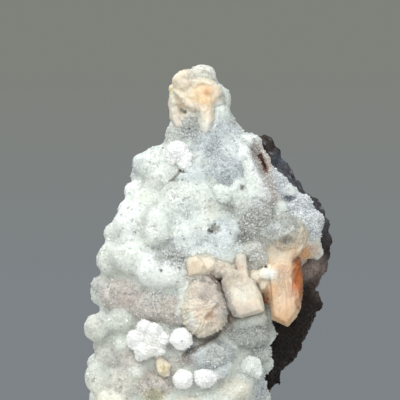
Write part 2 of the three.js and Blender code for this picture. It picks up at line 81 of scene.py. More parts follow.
class Tint(Enum):
    """Colours of the cluster's minerals, as sRGB numbers from 0 to 255."""

    MINT_WHITE = (228, 234, 228)
    BRIGHT_WHITE = (240, 245, 242)
    COOL_WHITE = (219, 227, 228)
    PALE_BLUE = (208, 217, 219)
    BLUE_GREY = (196, 204, 208)
    SMOKE_GREY = (184, 188, 184)
    GREY_GREEN = (207, 212, 205)
    YELLOW_GREEN = (238, 246, 226)
    OLIVE_CREAM = (190, 186, 152)
    CREAM_DRUSE = (230, 228, 216)
    GREIGE = (207, 206, 199)
    MAUVE_SUGAR = (205, 198, 191)
    MAUVE_DEEP = (176, 163, 157)
    TAN_DUST = (182, 175, 165)
    # dark brown: real dark spots, and painted shade in holes, in crevices and under the round
    # sheaf
    DIRT_AND_SHADE = (104, 98, 90)
    PURE_WHITE = (254, 255, 255)
    WARM_WHITE = (254, 252, 242)
    STRAW = (222, 212, 158)
    PALE_CREAM = (248, 237, 219)
    CREAM = (230, 219, 199)
    BLUSH = (238, 225, 210)
    PEACH = (224, 198, 168)
    ORANGE_PEACH = (220, 172, 126)
    PINK_PEACH = (216, 180, 160)
    APRICOT = (244, 214, 172)
    DEEP_ORANGE = (202, 116, 52)
    ORANGE_BROWN = (138, 84, 50)
    GLASS_GREY = (190, 192, 185)
    SMOKY = (132, 134, 124)
    MAUVE_COAT = (216, 207, 198)
    # dark brown; where it lines the groove between the crystals it is painted shade
    GROOVE = (84, 66, 58)
    BASALT = (46, 40, 38)
    BASALT_BLUE = (84, 91, 102)
    BROWN_STONE = (60, 45, 38)
    MAUVE_STONE = (156, 139, 131)
    # near black: the stone's own darkest parts, and painted shade low on its front, at its lower
    # right and in the fold's slit
    DARK_STONE_AND_SHADE = (27, 20, 17)
    RUST = (96, 58, 38)
    WHITE_CRUST = (226, 231, 236)

    @property
    def linear(self) -> Array:
        """The colour as linear numbers from 0 to 1."""
        share = np.array(self.value, float) / 255
        return np.where(share <= 0.04045, share / 12.92, ((share + 0.055) / 1.055) ** 2.4)


@dataclass(frozen=True)
class Patch:
    """A soft patch of colour seen from the front: its middle, reach across and up, and tint."""

    x: float
    z: float
    reach: float
    tint: Tint
    strength: float = 0.85
    tall: Optional[float] = None

    def weight(self, points: Array) -> Array:
        """How much of the patch each point takes.

        Args:
            points: Points in table millimetres.

        Returns:
            Numbers from 0 to the patch's strength.
        """
        across = (points[:, 0] - self.x) / self.reach
        up = (points[:, 2] - self.z) / (self.tall or self.reach)
        return self.strength * eased(1.25 - np.hypot(across, up))


@dataclass(frozen=True)
class Stroke:
    """A soft line of colour seen from the front: its path across and up, reach and tint."""

    path: Rows
    reach: float
    tint: Tint
    strength: float = 0.85

    def weight(self, points: Array) -> Array:
        """How much of the line each point takes, from 0 to its strength."""
        return self.strength * eased(1.25 - gap_to(points, self.path) / self.reach)


Layers = tuple[Patch | Stroke, ...]


def laid(*rows: tuple) -> Layers:
    """Makes patches and strokes of rows.

    Args:
        rows: The values of each, in order; a stroke's first value is a path.

    Returns:
        The patches and strokes.
    """
    return tuple((Stroke if isinstance(row[0], tuple) else Patch)(*row) for row in rows)


def gap_to(points: Array, path: Rows) -> Array:
    """Each point's distance from a path, seen from the front.

    Args:
        points: Points in table millimetres.
        path: The path's corners, across and up.

    Returns:
        One distance for each point.
    """
    flat = points[:, [0, 2]]
    gaps = []
    for start, end in zip(path, path[1:]):
        way = np.subtract(end, start)
        share = np.clip(((flat - start) @ way) / (way @ way), 0, 1)[:, None]
        gaps.append(np.linalg.norm(flat - (start + share * way), axis=1))
    return np.min(gaps, axis=0)


def off(points: Array, x: float, z: float) -> Array:
    """Each point's distance from a place, seen from the front."""
    return np.hypot(points[:, 0] - x, points[:, 2] - z)


def eased(share: Array) -> Array:
    """A smooth step from 0 to 1 as share goes from 0 to 1."""
    share = np.clip(share, 0, 1)
    return share * share * (3 - 2 * share)


def tinted(colours: Array, share: Array, tint: Tint) -> Array:
    """Colours moved towards a tint by each point's own share."""
    return colours + share[:, None] * (tint.linear - colours)


def painted(points: Array, ground: Tint | Array, patches: Layers) -> Array:
    """Lays soft patches and strokes over a ground colour.

    Args:
        points: Points in table millimetres.
        ground: The colour under the patches, or one for each point.
        patches: What is laid over it, in order.

    Returns:
        One linear colour for each point.
    """
    colours = np.tile(ground.linear, (len(points), 1)) if isinstance(ground, Tint) else ground
    for patch in patches:
        colours = tinted(colours, patch.weight(points), patch.tint)
    return colours


def wander(points: Array, size: float, seed: int = 0) -> Array:
    """Smooth noise from about -1 to 1.

    Args:
        points: Where it is read.
        size: How wide its features are.
        seed: Which of the many noises it is.

    Returns:
        One number for each point.
    """
    ways = np.random.default_rng(977).normal(size=(256, 3))
    ways /= np.linalg.norm(ways, axis=1)[:, None]
    at = points / size + 31.7 * seed + 0.37
    cell = np.floor(at).astype(np.int64)
    inside = at - cell
    ease = inside**3 * (inside * (inside * 6 - 15) + 10)
    total = np.zeros(len(points))
    for corner in product((0, 1), repeat=3):
        step = cell + corner
        mixed = (step[:, 0] * 73856093) ^ (step[:, 1] * 19349663) ^ (step[:, 2] * 83492791)
        mixed = (mixed ^ (mixed >> 13)) * 1274126177
        way = ways[(mixed >> 7) & 255]
        share = np.prod(np.where(np.array(corner) == 1, ease, 1 - ease), axis=1)
        total += share * np.sum(way * (inside - corner), axis=1)
    return np.clip(total * 1.7, -1, 1)


def ridged(points: Array, size: float, seed: int = 0) -> Array:
    """Noise with sharp crests, from 0 in the hollows to 1 on the crests."""
    return 1 - np.abs(wander(points, size, seed))


def unit(vectors: Array) -> Array:
    """The same directions with a length of 1."""
    return vectors / np.maximum(np.linalg.norm(vectors, axis=1), 1e-12)[:, None]


def drawn_in(points: Array, depth: float) -> Array:
    """Sets outlines that were taken from the front to their size at their own depth.

    Args:
        points: Points in the frame's millimetres.
        depth: How deep their piece lies, below 0 in front of the origin.

    Returns:
        The points, drawn in towards the middle line of sight.
    """
    middle = np.array((SIGHT[0], 0.0, SIGHT[1]))
    share = np.array((depth, 0.0, depth)) / SIGHT_REACH
    return points + (points - middle) * share


def rows_of(items: bpy.types.bpy_prop_collection, key: str, size: int, kind: type) -> Array:
    """Reads one value of every item of a Blender collection.

    Args:
        items: The collection.
        key: The value's name.
        size: How many numbers it has.
        kind: Their type.

    Returns:
        One row for each item.
    """
    values = np.empty(len(items) * size, kind)
    items.foreach_get(key, values)
    return values.reshape(-1, size)


def strayed(points: Array, far: float, size: float, seed: int) -> Array:
    """Points moved about a little, so that soft edges get uneven.

    Args:
        points: The points.
        far: How far they move at most along each axis.
        size: How wide the noise's features are.
        seed: Which noise moves them along the first axis; the next two follow.

    Returns:
        The moved points.
    """
    return points + far * np.stack([wander(points, size, seed + i) for i in range(3)], axis=1)


def speckle_of(coarse: Array) -> Array:
    """How speckled the druse's finish is at points of some coarseness."""
    return 0.06 + 0.94 * coarse


def placed(name: str, data: bpy.types.ID) -> bpy.types.Object:
    """A new object that holds some data, linked to the scene.

    Args:
        name: The object's name.
        data: Its mesh, lamp or camera.

    Returns:
        The object.
    """
    item = bpy.data.objects.new(name, data)
    bpy.context.scene.collection.objects.link(item)
    return item


@dataclass
class Skin:
    """A mesh under work: its points in millimetres, and its four- and three-sided faces."""

    points: Array
    quads: Array
    tris: Array

    @classmethod
    def bare(cls, points: Array, tris: Array) -> "Skin":
        """A skin of three-sided faces alone."""
        return cls(np.asarray(points, float), np.zeros((0, 4), int), np.asarray(tris, int))

    @classmethod
    def of_node(cls, name: str) -> "Skin":
        """A CAD node's own surface.

        Args:
            name: The node's name.

        Returns:
            Its skin.
        """
        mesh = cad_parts[name].data
        mesh.calc_loop_triangles()
        points = rows_of(mesh.vertices, "co", 3, np.float32)
        return cls.bare(points / MM, rows_of(mesh.loop_triangles, "vertices", 3, np.int32))

    @classmethod
    def together(cls, skins: Sequence["Skin"]) -> "Skin":
        """Several skins as one, with nothing fused yet.

        Args:
            skins: The skins.

        Returns:
            One skin that holds them all.
        """
        starts = np.cumsum([0] + [len(skin.points) for skin in skins[:-1]])
        quads = [skin.quads + start for skin, start in zip(skins, starts)]
        tris = [skin.tris + start for skin, start in zip(skins, starts)]
        points = np.concatenate([skin.points for skin in skins])
        return cls(points, np.concatenate(quads), np.concatenate(tris))

    @property
    def table(self) -> Array:
        """The points in the tables' millimetres."""
        return self.points - GROWN_FROM

    def triangles(self) -> Array:
        """Every face as triangles."""
        return np.concatenate([self.quads[:, :3], self.quads[:, [0, 2, 3]], self.tris])

    def normals(self) -> Array:
        """The outward direction at each point."""
        corners = self.triangles()
        a, b, c = (self.points[corners[:, i]] for i in range(3))
        face, count = np.cross(b - a, c - a), len(self.points)
        total = np.zeros_like(self.points)
        for i, axis in product(range(3), repeat=2):
            total[:, axis] += np.bincount(corners[:, i], face[:, axis], minlength=count)
        return unit(total)

    def relaxed(self, rounds: int, share: float = 0.5) -> "Skin":
        """Evens the surface out.

        Args:
            rounds: How many times each point moves towards its neighbours' middle.
            share: How far it moves each time.

        Returns:
            The smoother skin.
        """
        sides = [self.quads[:, [i, (i + 1) % 4]] for i in range(4)]
        sides += [self.tris[:, [i, (i + 1) % 3]] for i in range(3)]
        near, far = np.concatenate(sides).T
        size = len(self.points)
        count = np.maximum(np.bincount(near, minlength=size), 1)[:, None]
        points = self.points.copy()
        for _ in range(rounds):
            total = [np.bincount(near, points[far, axis], minlength=size) for axis in range(3)]
            points += share * (np.stack(total, axis=1) / count - points)
        return Skin(points, self.quads, self.tris)

    def pushed(self, distance: Array) -> "Skin":
        """Each point moved outward by its own distance."""
        return Skin(self.points + self.normals() * distance[:, None], self.quads, self.tris)

    def mesh(self, name: str, scale: float = 1.0) -> bpy.types.Mesh:
        """Makes a Blender mesh of the skin.

        Args:
            name: The mesh's name.
            scale: What the points are multiplied by.

        Returns:
            The new mesh.
        """
        mesh = bpy.data.meshes.new(name)
        corners = np.concatenate([self.quads.ravel(), self.tris.ravel()]).astype(np.int32)
        sizes = np.repeat((4, 3), (len(self.quads), len(self.tris)))
        starts = np.concatenate([[0], np.cumsum(sizes)[:-1]]).astype(np.int32)
        mesh.vertices.add(len(self.points))
        mesh.vertices.foreach_set("co", (self.points * scale).astype(np.float32).ravel())
        mesh.loops.add(len(corners))
        mesh.loops.foreach_set("vertex_index", corners)
        mesh.polygons.add(len(sizes))
        mesh.polygons.foreach_set("loop_start", starts)
        mesh.update(calc_edges=True)
        mesh.validate()
        return mesh

    def fused(self, voxel: float, turn: Sequence[float] = (0, 0, 0)) -> "Skin":
        """One closed outer surface of everything in the skin.

        Args:
            voxel: The size of the new faces.
            turn: How the grid that cuts them lies, so that its rows don't show.

        Returns:
            The fused skin, of four-sided faces.
        """
        spin = np.array(Euler(turn).to_matrix())
        lump = Skin(self.points @ spin.T, self.quads, self.tris)
        holder = placed("fusing", lump.mesh("fusing"))
        fuse = holder.modifiers.new("fuse", "REMESH")
        fuse.mode, fuse.voxel_size, fuse.adaptivity = "VOXEL", voxel, 0
        bpy.context.view_layer.update()
        seen = holder.evaluated_get(bpy.context.evaluated_depsgraph_get())
        made = seen.to_mesh()
        points = rows_of(made.vertices, "co", 3, np.float32).astype(float) @ spin
        corners = rows_of(made.loops, "vertex_index", 1, np.int32).reshape(-1, 4).astype(int)
        seen.to_mesh_clear()
        old = holder.data
        bpy.data.objects.remove(holder)
        bpy.data.meshes.remove(old)
        return Skin(points, corners, np.zeros((0, 3), int))

    def crystalline(self, heights: Array, chosen: Array) -> "Skin":
        """Raises a four-sided point on each chosen face, grown as one with the rest.

        Args:
            heights: How high each four-sided face's point would stand.
            chosen: Which faces get one.

        Returns:
            The skin with its points, which are its last len(chosen faces) points.
        """
        corners = self.quads[chosen]
        a, b, c, d = (self.points[corners[:, i]] for i in range(4))
        out = unit(np.cross(c - a, d - b))
        tips = (a + b + c + d) / 4 + out * heights[chosen][:, None]
        tip = np.arange(len(corners)) + len(self.points)
        after = np.roll(corners, -1, axis=1)
        sides = [np.stack([corners[:, i], after[:, i], tip], axis=1) for i in range(4)]
        points, tris = np.concatenate([self.points, tips]), np.concatenate([self.tris, *sides])
        return Skin(points, self.quads[~chosen], tris)

    def all_crystalline(self, heights: Array) -> "Skin":
        """The same with a point on every four-sided face."""
        return self.crystalline(heights, np.full(len(self.quads), True))

    def scattered(
        self, count: int, rng: np.random.Generator, likely: Optional[Array] = None
    ) -> tuple[Array, Array]:
        """Chooses places spread over the surface.

        Args:
            count: How many.
            rng: Where the chances come from.
            likely: How likely each point's surroundings are, from 0.

        Returns:
            The places and the outward direction at each.
        """
        corners = self.triangles()
        a, b, c = (self.points[corners[:, i]] for i in range(3))
        cross = np.cross(b - a, c - a)
        chance = np.linalg.norm(cross, axis=1)
        if likely is not None:
            chance = chance * likely[corners].mean(axis=1)
        total = np.cumsum(chance)
        pick = np.searchsorted(total, rng.random(count) * total[-1])
        pick = np.minimum(pick, len(corners) - 1)
        u, v = rng.random(count), rng.random(count)
        over = u + v > 1
        u, v = np.where(over, 1 - u, u)[:, None], np.where(over, 1 - v, v)[:, None]
        places = a[pick] + u * (b - a)[pick] + v * (c - a)[pick]
        return places, unit(cross[pick])


def tree_of(skin: Skin) -> BVHTree:
    """A search tree over a skin of three-sided faces."""
    return BVHTree.FromPolygons(skin.points.tolist(), skin.tris.tolist())


def ahead(tree: BVHTree, x: float, z: float) -> Optional[float]:
    """How deep, in the frame's millimetres, a surface lies on a line of sight if it's there."""
    hit = tree.ray_cast(Vector((x + GROWN_FROM[0], -60.0, z)), Vector((0, 1, 0)))[0]
    return hit.y if hit else None


# ---- Simple closed forms -------------------------------------------------------------------


def taken(sheet: bmesh.types.BMesh) -> Skin:
    """Makes a skin of a mesh of three-sided faces and frees the mesh.

    Args:
        sheet: The mesh.

    Returns:
        The skin.
    """
    sheet.verts.index_update()
    points = np.array([vert.co[:] for vert in sheet.verts])
    corners = [[vert.index for vert in face.verts] for face in sheet.faces]
    sheet.free()
    return Skin.bare(points, corners)


def hull(points: Rows) -> Skin:
    """The flat-faced body that holds a set of points, given in table millimetres.

    Args:
        points: The points.

    Returns:
        The body, with three-sided faces.
    """
    sheet = bmesh.new()
    for point in points:
        sheet.verts.new(point)
    made = bmesh.ops.convex_hull(sheet, input=sheet.verts)
    inner = [item for item in made["geom_interior"] if isinstance(item, bmesh.types.BMVert)]
    bmesh.ops.delete(sheet, geom=inner, context="VERTS")
    bmesh.ops.triangulate(sheet, faces=sheet.faces)
    bmesh.ops.recalc_face_normals(sheet, faces=sheet.faces)
    skin = taken(sheet)
    skin.points += GROWN_FROM
    return skin


def round_ball(detail: int) -> Skin:
    """A ball of radius 1 about the origin; each step of detail has four times the faces.

    Args:
        detail: How many steps it has.

    Returns:
        The ball.
    """
    sheet = bmesh.new()
    bmesh.ops.create_icosphere(sheet, subdivisions=detail, radius=1)
    return taken(sheet)


def balls(centres: Array, radii: Array, detail: int = 2) -> Skin:
    """Many balls as one skin, with nothing fused yet.

    Args:
        centres: Their middles, in the frame's millimetres.
        radii: Their radii.
        detail: How finely each is made.

    Returns:
        The skin.
    """
    one = round_ball(detail)
    points = centres[:, None, :] + radii[:, None, None] * one.points[None]
    starts = np.arange(len(centres))[:, None, None] * len(one.points)
    return Skin.bare(points.reshape(-1, 3), (one.tris[None] + starts).reshape(-1, 3))


def egg(
    at: Sequence[float], half: Sequence[float], lean: float = 0.0, blunt: float = 2.0
) -> Skin:
    """A rounded lump.

    Args:
        at: Its middle, in table millimetres.
        half: Half its size across, in depth and up.
        lean: How far its top leans to the right, in radians.
        blunt: How square its edge is as it turns away from the front.

    Returns:
        The lump.
    """
    one = round_ball(4 if blunt > 2 else 3)
    flat = np.hypot(one.points[:, 0], one.points[:, 2])
    reach = (flat**blunt + np.abs(one.points[:, 1]) ** blunt) ** (1 / blunt)
    if blunt > 2:
        flat_at = one.points * np.array(half) + np.array(at)
        reach = reach / (1 + 0.1 * wander(flat_at, 3.0, 61) + 0.05 * wander(flat_at, 1.3, 62))
    spin = np.array(Euler((0, lean, 0)).to_matrix())
    points = (one.points / reach[:, None] * np.array(half)) @ spin.T + np.array(at) + GROWN_FROM
    return Skin.bare(points, one.tris)


def rod(path: Rows, radii: Sequence[float]) -> Skin:
    """A rounded ridge along a path.

    Args:
        path: Its corners, in table millimetres.
        radii: Its radius at each corner.

    Returns:
        The ridge, as overlapping balls.
    """
    rows = np.column_stack([path, radii]).astype(float)
    beads = []
    for start, end in zip(rows, rows[1:]):
        length = np.linalg.norm(end[:3] - start[:3])
        steps = max(2, int(length / (BEAD_STEP * min(start[3], end[3]))))
        for share in np.linspace(0, 1, steps, endpoint=False):
            beads.append(start + share * (end - start))
    beads = np.array([*beads, rows[-1]])
    return balls(beads[:, :3] + GROWN_FROM, beads[:, 3])


def slab(
    outline: Rows,
    front: float,
    back: float,
    bevel: float = 0.35,
    inset: float = 0.35,
    tilt: Pair = (0.0, 0.0),
) -> Skin:
    """A flat-faced crystal from an outline seen from the front.

    Args:
        outline: Its corners, across and up, in table millimetres.
        front: Where its front face lies.
        back: Where its back lies.
        bevel: How far behind the face the outline is at its full width.
        inset: How much smaller the face is than the outline.
        tilt: How much the face falls back for each millimetre across and up.

    Returns:
        The crystal.
    """
    flat = np.array(outline, float)
    middle = flat.mean(axis=0)
    away = flat - middle
    reach = np.linalg.norm(away, axis=1)[:, None]
    small = middle + away * np.maximum(reach - inset, 0.05) / reach
    points = []
    for ring, depth in ((small, front), (flat, front + bevel)):
        fall = (ring - middle) @ np.array(tilt)
        points += [(x, depth + drop, z) for (x, z), drop in zip(ring, fall)]
    return hull(points + [(x, back, z) for x, z in flat])


def spikes(
    places: Array,
    ways: Array,
    widths: Array,
    heights: Array,
    rng: np.random.Generator,
    lean: float = 0.35,
    shoulder: float = 0.0,
) -> Skin:
    """Small four-sided crystals standing on a surface.

    Args:
        places: Where each stands.
        ways: The outward direction there.
        widths: How wide each is across its corners.
        heights: How high each stands.
        rng: Where their lean and turn come from.
        lean: How far they lean, as a share of their height.
        shoulder: The share of the height that is a straight prism under the point.

    Returns:
        All of them, closed.
    """
    count = len(places)
    axis = unit(ways + lean * rng.normal(size=(count, 3)))
    side = unit(np.cross(axis, rng.normal(size=(count, 3))))
    other = np.cross(axis, side)
    half, tall = widths[:, None] / 2, heights[:, None]
    ring = [side * half, other * half, -side * half, -other * half]
    rows = [places - axis * tall * SPIKE_ROOT + corner for corner in ring]
    quads, top = [(3, 2, 1, 0)], 0
    if shoulder > 0:
        rows += [places + axis * tall * shoulder + corner for corner in ring]
        quads += [(i, (i + 1) % 4, (i + 1) % 4 + 4, i + 4) for i in range(4)]
        top = 4
    walls = [(top + i, top + (i + 1) % 4, len(rows)) for i in range(4)]
    rows.append(places + axis * tall)
    starts = (np.arange(count) * len(rows))[:, None, None]
    points = np.stack(rows, axis=1).reshape(-1, 3)
    quads, tris = (np.array(faces)[None] + starts for faces in (quads, walls))
    return Skin(points, quads.reshape(-1, 4), tris.reshape(-1, 3))


# ---- Finishes ------------------------------------------------------------------------------


class Recipe:
    """A material being put together from nodes."""

    def __init__(self, name: str) -> None:
        """Starts with a Principled shader on the output.

        Args:
            name: The material's name.
        """
        self.material = bpy.data.materials.new(name)
        self.material.use_nodes = True
        self.tree = self.material.node_tree
        self.tree.nodes.clear()
        self.surface = self.add("ShaderNodeBsdfPrincipled")
        shaded = {"Surface": self.surface.outputs["BSDF"]}
        self.output = self.add("ShaderNodeOutputMaterial", shaded)

    def feed(self, node: bpy.types.Node, key: str | int, value: object) -> None:
        """Joins another node's output to a socket, or sets the socket to a constant.

        Args:
            node: The node that has the socket.
            key: The socket's name or number.
            value: The output or the constant.
        """
        if isinstance(value, bpy.types.NodeSocket):
            self.tree.links.new(value, node.inputs[key])
        else:
            node.inputs[key].default_value = value

    def add(self, kind: str, feeds: Optional[dict] = None, **settings: object) -> bpy.types.Node:
        """Adds a node.

        Args:
            kind: Its type.
            feeds: What goes into its sockets, by their name or number.
            settings: Its own settings.

        Returns:
            The node.
        """
        node = self.tree.nodes.new(kind)
        for key, value in settings.items():
            setattr(node, key, value)
        for key, value in (feeds or {}).items():
            self.feed(node, key, value)
        return node

    def dressed(self, **feeds: object) -> bpy.types.Material:
        """Feeds the shader itself.

        Args:
            feeds: What goes into its sockets; an underscore stands for a space in a name.

        Returns:
            The finished material.
        """
        for key, value in feeds.items():
            self.feed(self.surface, key.replace("_", " "), value)
        return self.material

    def place(self) -> Socket:
        """Where a point of the surface is, in metres."""
        return self.add("ShaderNodeTexCoord").outputs["Object"]

    def noise(self, size: float, detail: float) -> Socket:
        """Noise from 0 to 1 with features of a size in millimetres."""
        feeds = {"Scale": 1 / (size * MM), "Detail": detail, "Vector": self.place()}
        return self.add("ShaderNodeTexNoise", feeds).outputs["Fac"]

    def between(self, value: Socket, low: float, high: float, start: float, end: float) -> Socket:
        """Maps a value from low..high to start..end, held at the ends."""
        feeds = {"From Min": low, "From Max": high, "To Min": start, "To Max": end}
        return self.add("ShaderNodeMapRange", {"Value": value, **feeds}).outputs["Result"]

    def cloud(self, size: float, detail: float, start: float, end: float) -> Socket:
        """Soft noise from start to end with features of a size in millimetres."""
        return self.between(self.noise(size, detail), *NOISE_SPAN, start, end)

    def held(self, channel: str) -> Socket:
        """What the mesh holds at each point: its Color, or as Alpha how speckled it is."""
        return self.add("ShaderNodeVertexColor", layer_name=TINT).outputs[channel]

    def vector(
        self, kind: str, first: Socket, key: str | int = 1, second: object = None
    ) -> Socket:
        """Arithmetic on vectors.

        Args:
            kind: The operation's name.
            first: What goes into its first socket.
            key: The name or number of its other socket.
            second: What goes into that one, if anything does.

        Returns:
            The result.
        """
        feeds = {0: first} if second is None else {0: first, key: second}
        return self.add("ShaderNodeVectorMath", feeds, operation=kind).outputs["Vector"]

    def tint(self, share: Socket) -> Socket:
        """The colour that the mesh holds at each point, made lighter or darker by a share."""
        return self.vector("SCALE", self.held("Color"), "Scale", share)

    def facets(self, size: float, tilt: float) -> tuple[Socket, Socket]:
        """Turns each small cell of the surface its own way, and gives the cell's own numbers.

        Args:
            size: How wide a cell is, in millimetres.
            tilt: How far a cell turns.

        Returns:
            Two numbers from 0 to 1, each of them one value in each cell.
        """
        feeds = {"Scale": 1 / (size * MM), "Vector": self.place()}
        own = self.add("ShaderNodeTexVoronoi", feeds).outputs["Color"]
        turned = self.vector("SCALE", self.vector("SUBTRACT", own, 1, (0.5,) * 3), "Scale", tilt)
        flat = self.add("ShaderNodeNewGeometry").outputs["Normal"]
        normal = self.vector("NORMALIZE", self.vector("ADD", flat, 1, turned))
        self.feed(self.surface, "Normal", normal)
        parts = self.add("ShaderNodeSeparateColor", {"Color": own}).outputs
        return parts["Red"], parts["Green"]

    def bumped(self, height: Socket, depth: float) -> None:
        """Roughens the surface by a height from 0 to 1 over a depth in millimetres.

        Args:
            height: The height's socket.
            depth: How deep its full range is.
        """
        feeds = {"Distance": depth * MM, "Strength": 1.0, "Height": height}
        bump = self.add("ShaderNodeBump", feeds)
        self.feed(self.surface, "Normal", bump.outputs["Normal"])


@dataclass(frozen=True)
class SugarFinish:
    """Micro-crystals: milky or dull below, with single facets that flash."""

    name: str
    milky: float = 0.9  # share of the light that goes through the body
    depth: float = 1.9  # how far it goes, mm
    facet: float = 0.33  # how wide a facet is, mm
    tilt: float = 0.5
    dull: float = 0.5
    bright: float = 0.13
    speckle: float = 0.5  # how far cells differ in brightness where the mesh says so
    flash: ClassVar[float] = 0.85  # strength of the facets' own flash

    def material(self) -> bpy.types.Material:
        """Makes the material."""
        recipe = Recipe(self.name)
        cell, other = recipe.facets(self.facet, self.tilt)
        spread = recipe.between(other, 0, 1, -self.speckle, self.speckle)
        feeds = {0: spread, 1: recipe.held("Alpha"), 2: 1.0}
        grain = recipe.add("ShaderNodeMath", feeds, operation="MULTIPLY_ADD").outputs[0]
        return recipe.dressed(
            Base_Color=recipe.tint(grain),
            Roughness=recipe.between(cell, 0.3, 0.6, self.dull, self.bright),
            IOR=APOPHYLLITE_IOR,
            Specular_IOR_Level=self.flash,
            Subsurface_Weight=self.milky,
            Subsurface_Radius=(1.0, 1.0, 0.95),
            Subsurface_Scale=self.depth * MM,
        )


@dataclass(frozen=True)
class GlassFinish:
    """Clear crystal points."""

    name: str = "clear_points"
    tint: Triple = (0.93, 0.97, 0.98)
    clear: float = 0.35

    def material(self) -> bpy.types.Material:
        """Makes the material."""
        recipe = Recipe(self.name)
        return recipe.dressed(
            Base_Color=(*self.tint, 1),
            Roughness=recipe.cloud(0.9, 2, 0.03, 0.22),
            IOR=APOPHYLLITE_IOR,
            Transmission_Weight=self.clear,
        )


@dataclass(frozen=True)
class SilkFinish:
    """Fine white needles, matt and silky."""

    name: str = "white_needles"
    rough: float = 0.62
    sheen: float = 0.55

    def material(self) -> bpy.types.Material:
        """Makes the material."""
        recipe = Recipe(self.name)
        recipe.bumped(recipe.noise(0.22, 3), 0.08)
        return recipe.dressed(
            Base_Color=recipe.tint(recipe.cloud(0.35, 2, 0.96, 1.0)),
            Roughness=self.rough,
            IOR=PLAIN_IOR,
            Sheen_Weight=self.sheen,
            Sheen_Roughness=0.5,
        )


@dataclass(frozen=True)
class PearlFinish:
    """Stilbite: warm light inside, a pearly gloss outside, fine lines along its growth."""

    name: str
    depth: float = 1.3  # how far the light goes inside, mm
    line: float = 0.28  # how wide the fine lines are, mm
    gloss: float = 0.42
    coat: float = 0.12

    def material(self) -> bpy.types.Material:
        """Makes the material."""
        recipe = Recipe(self.name)
        recipe.bumped(recipe.noise(self.line, 3), 0.07)
        return recipe.dressed(
            Base_Color=recipe.tint(recipe.cloud(1.6, 4, 0.93, 1.05)),
            Roughness=recipe.cloud(0.8, 2, self.gloss - 0.14, self.gloss + 0.16),
            IOR=PLAIN_IOR,
            Subsurface_Weight=0.8,
            Subsurface_Radius=(1.2, 0.95, 0.75),
            Subsurface_Scale=self.depth * MM,
            Coat_Weight=self.coat,
            Coat_Roughness=0.3,
        )


@dataclass(frozen=True)
class StoneFinish:
    """Broken basalt with fine pale grains."""

    name: str = "broken_basalt"
    grain: float = 0.45  # how wide a grain is, mm
    flash: float = 0.3

    def material(self) -> bpy.types.Material:
        """Makes the material."""
        recipe = Recipe(self.name)
        mottle = recipe.between(recipe.noise(0.7, 5), 0.25, 0.75, 0.6, 1.45)
        cell, _ = recipe.facets(self.grain, 0.55)
        return recipe.dressed(
            Base_Color=recipe.tint(mottle),
            Roughness=recipe.between(cell, 0.7, 0.9, 0.8, 0.45),
            IOR=PLAIN_IOR,
            Specular_IOR_Level=self.flash,
        )


DRUSE = SugarFinish("milky_druse")
CRYSTALS = SugarFinish("small_crystals", 0.85, 1.2, 0.6, 0.12, 0.35, speckle=0.3)
SUGAR = SugarFinish("sugar_coat", 0.3, 0.6, 0.2, 0.3, 0.4, speckle=0.08)
CLEAR = GlassFinish()
SILK = SilkFinish()
CREAM_PEARL = PearlFinish("cream_stilbite")
PEACH_PEARL = PearlFinish("peach_stilbite")
ORANGE_PEARL = PearlFinish("orange_stilbite", depth=1.4, gloss=0.36)
DULL_CREAM = SugarFinish("dull_spherule", 0.6, facet=0.25, dull=0.6, bright=0.3, speckle=0.1)
STONE = StoneFinish()


def set_out(
    name: str,
    skin: Skin,
    tints: Array,
    material: bpy.types.Material,
    replaces: Sequence[str] = (),
    smooth: bool = False,
) -> None:
    """Puts a finished piece into the scene and ties it to the frame.

    Args:
        name: The piece's name.
        skin: Its surface, in the frame's millimetres.
        tints: One linear colour for each point, with how speckled it is where that counts.
        material: Its finish.
        replaces: The CAD nodes that it stands for.
        smooth: Whether light runs smoothly over its faces.
    """
    mesh = skin.mesh(name, MM)
    layer = mesh.color_attributes.new(TINT, "FLOAT_COLOR", "POINT")
    flat = np.ones((len(skin.points), 4), np.float32)
    flat[:, : tints.shape[1]] = np.clip(tints, 0, 1)
    layer.data.foreach_set("color", flat.ravel())
    mesh.polygons.foreach_set("use_smooth", np.full(len(mesh.polygons), smooth))
    mesh.materials.append(material)
    piece = placed(name, mesh)
    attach(piece, BODY)
    if replaces:
        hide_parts(*replaces)
    log.info("%s: %d triangles", name, 2 * len(skin.quads) + len(skin.tris))


# ---- Stone ---------------------------------------------------------------------------------


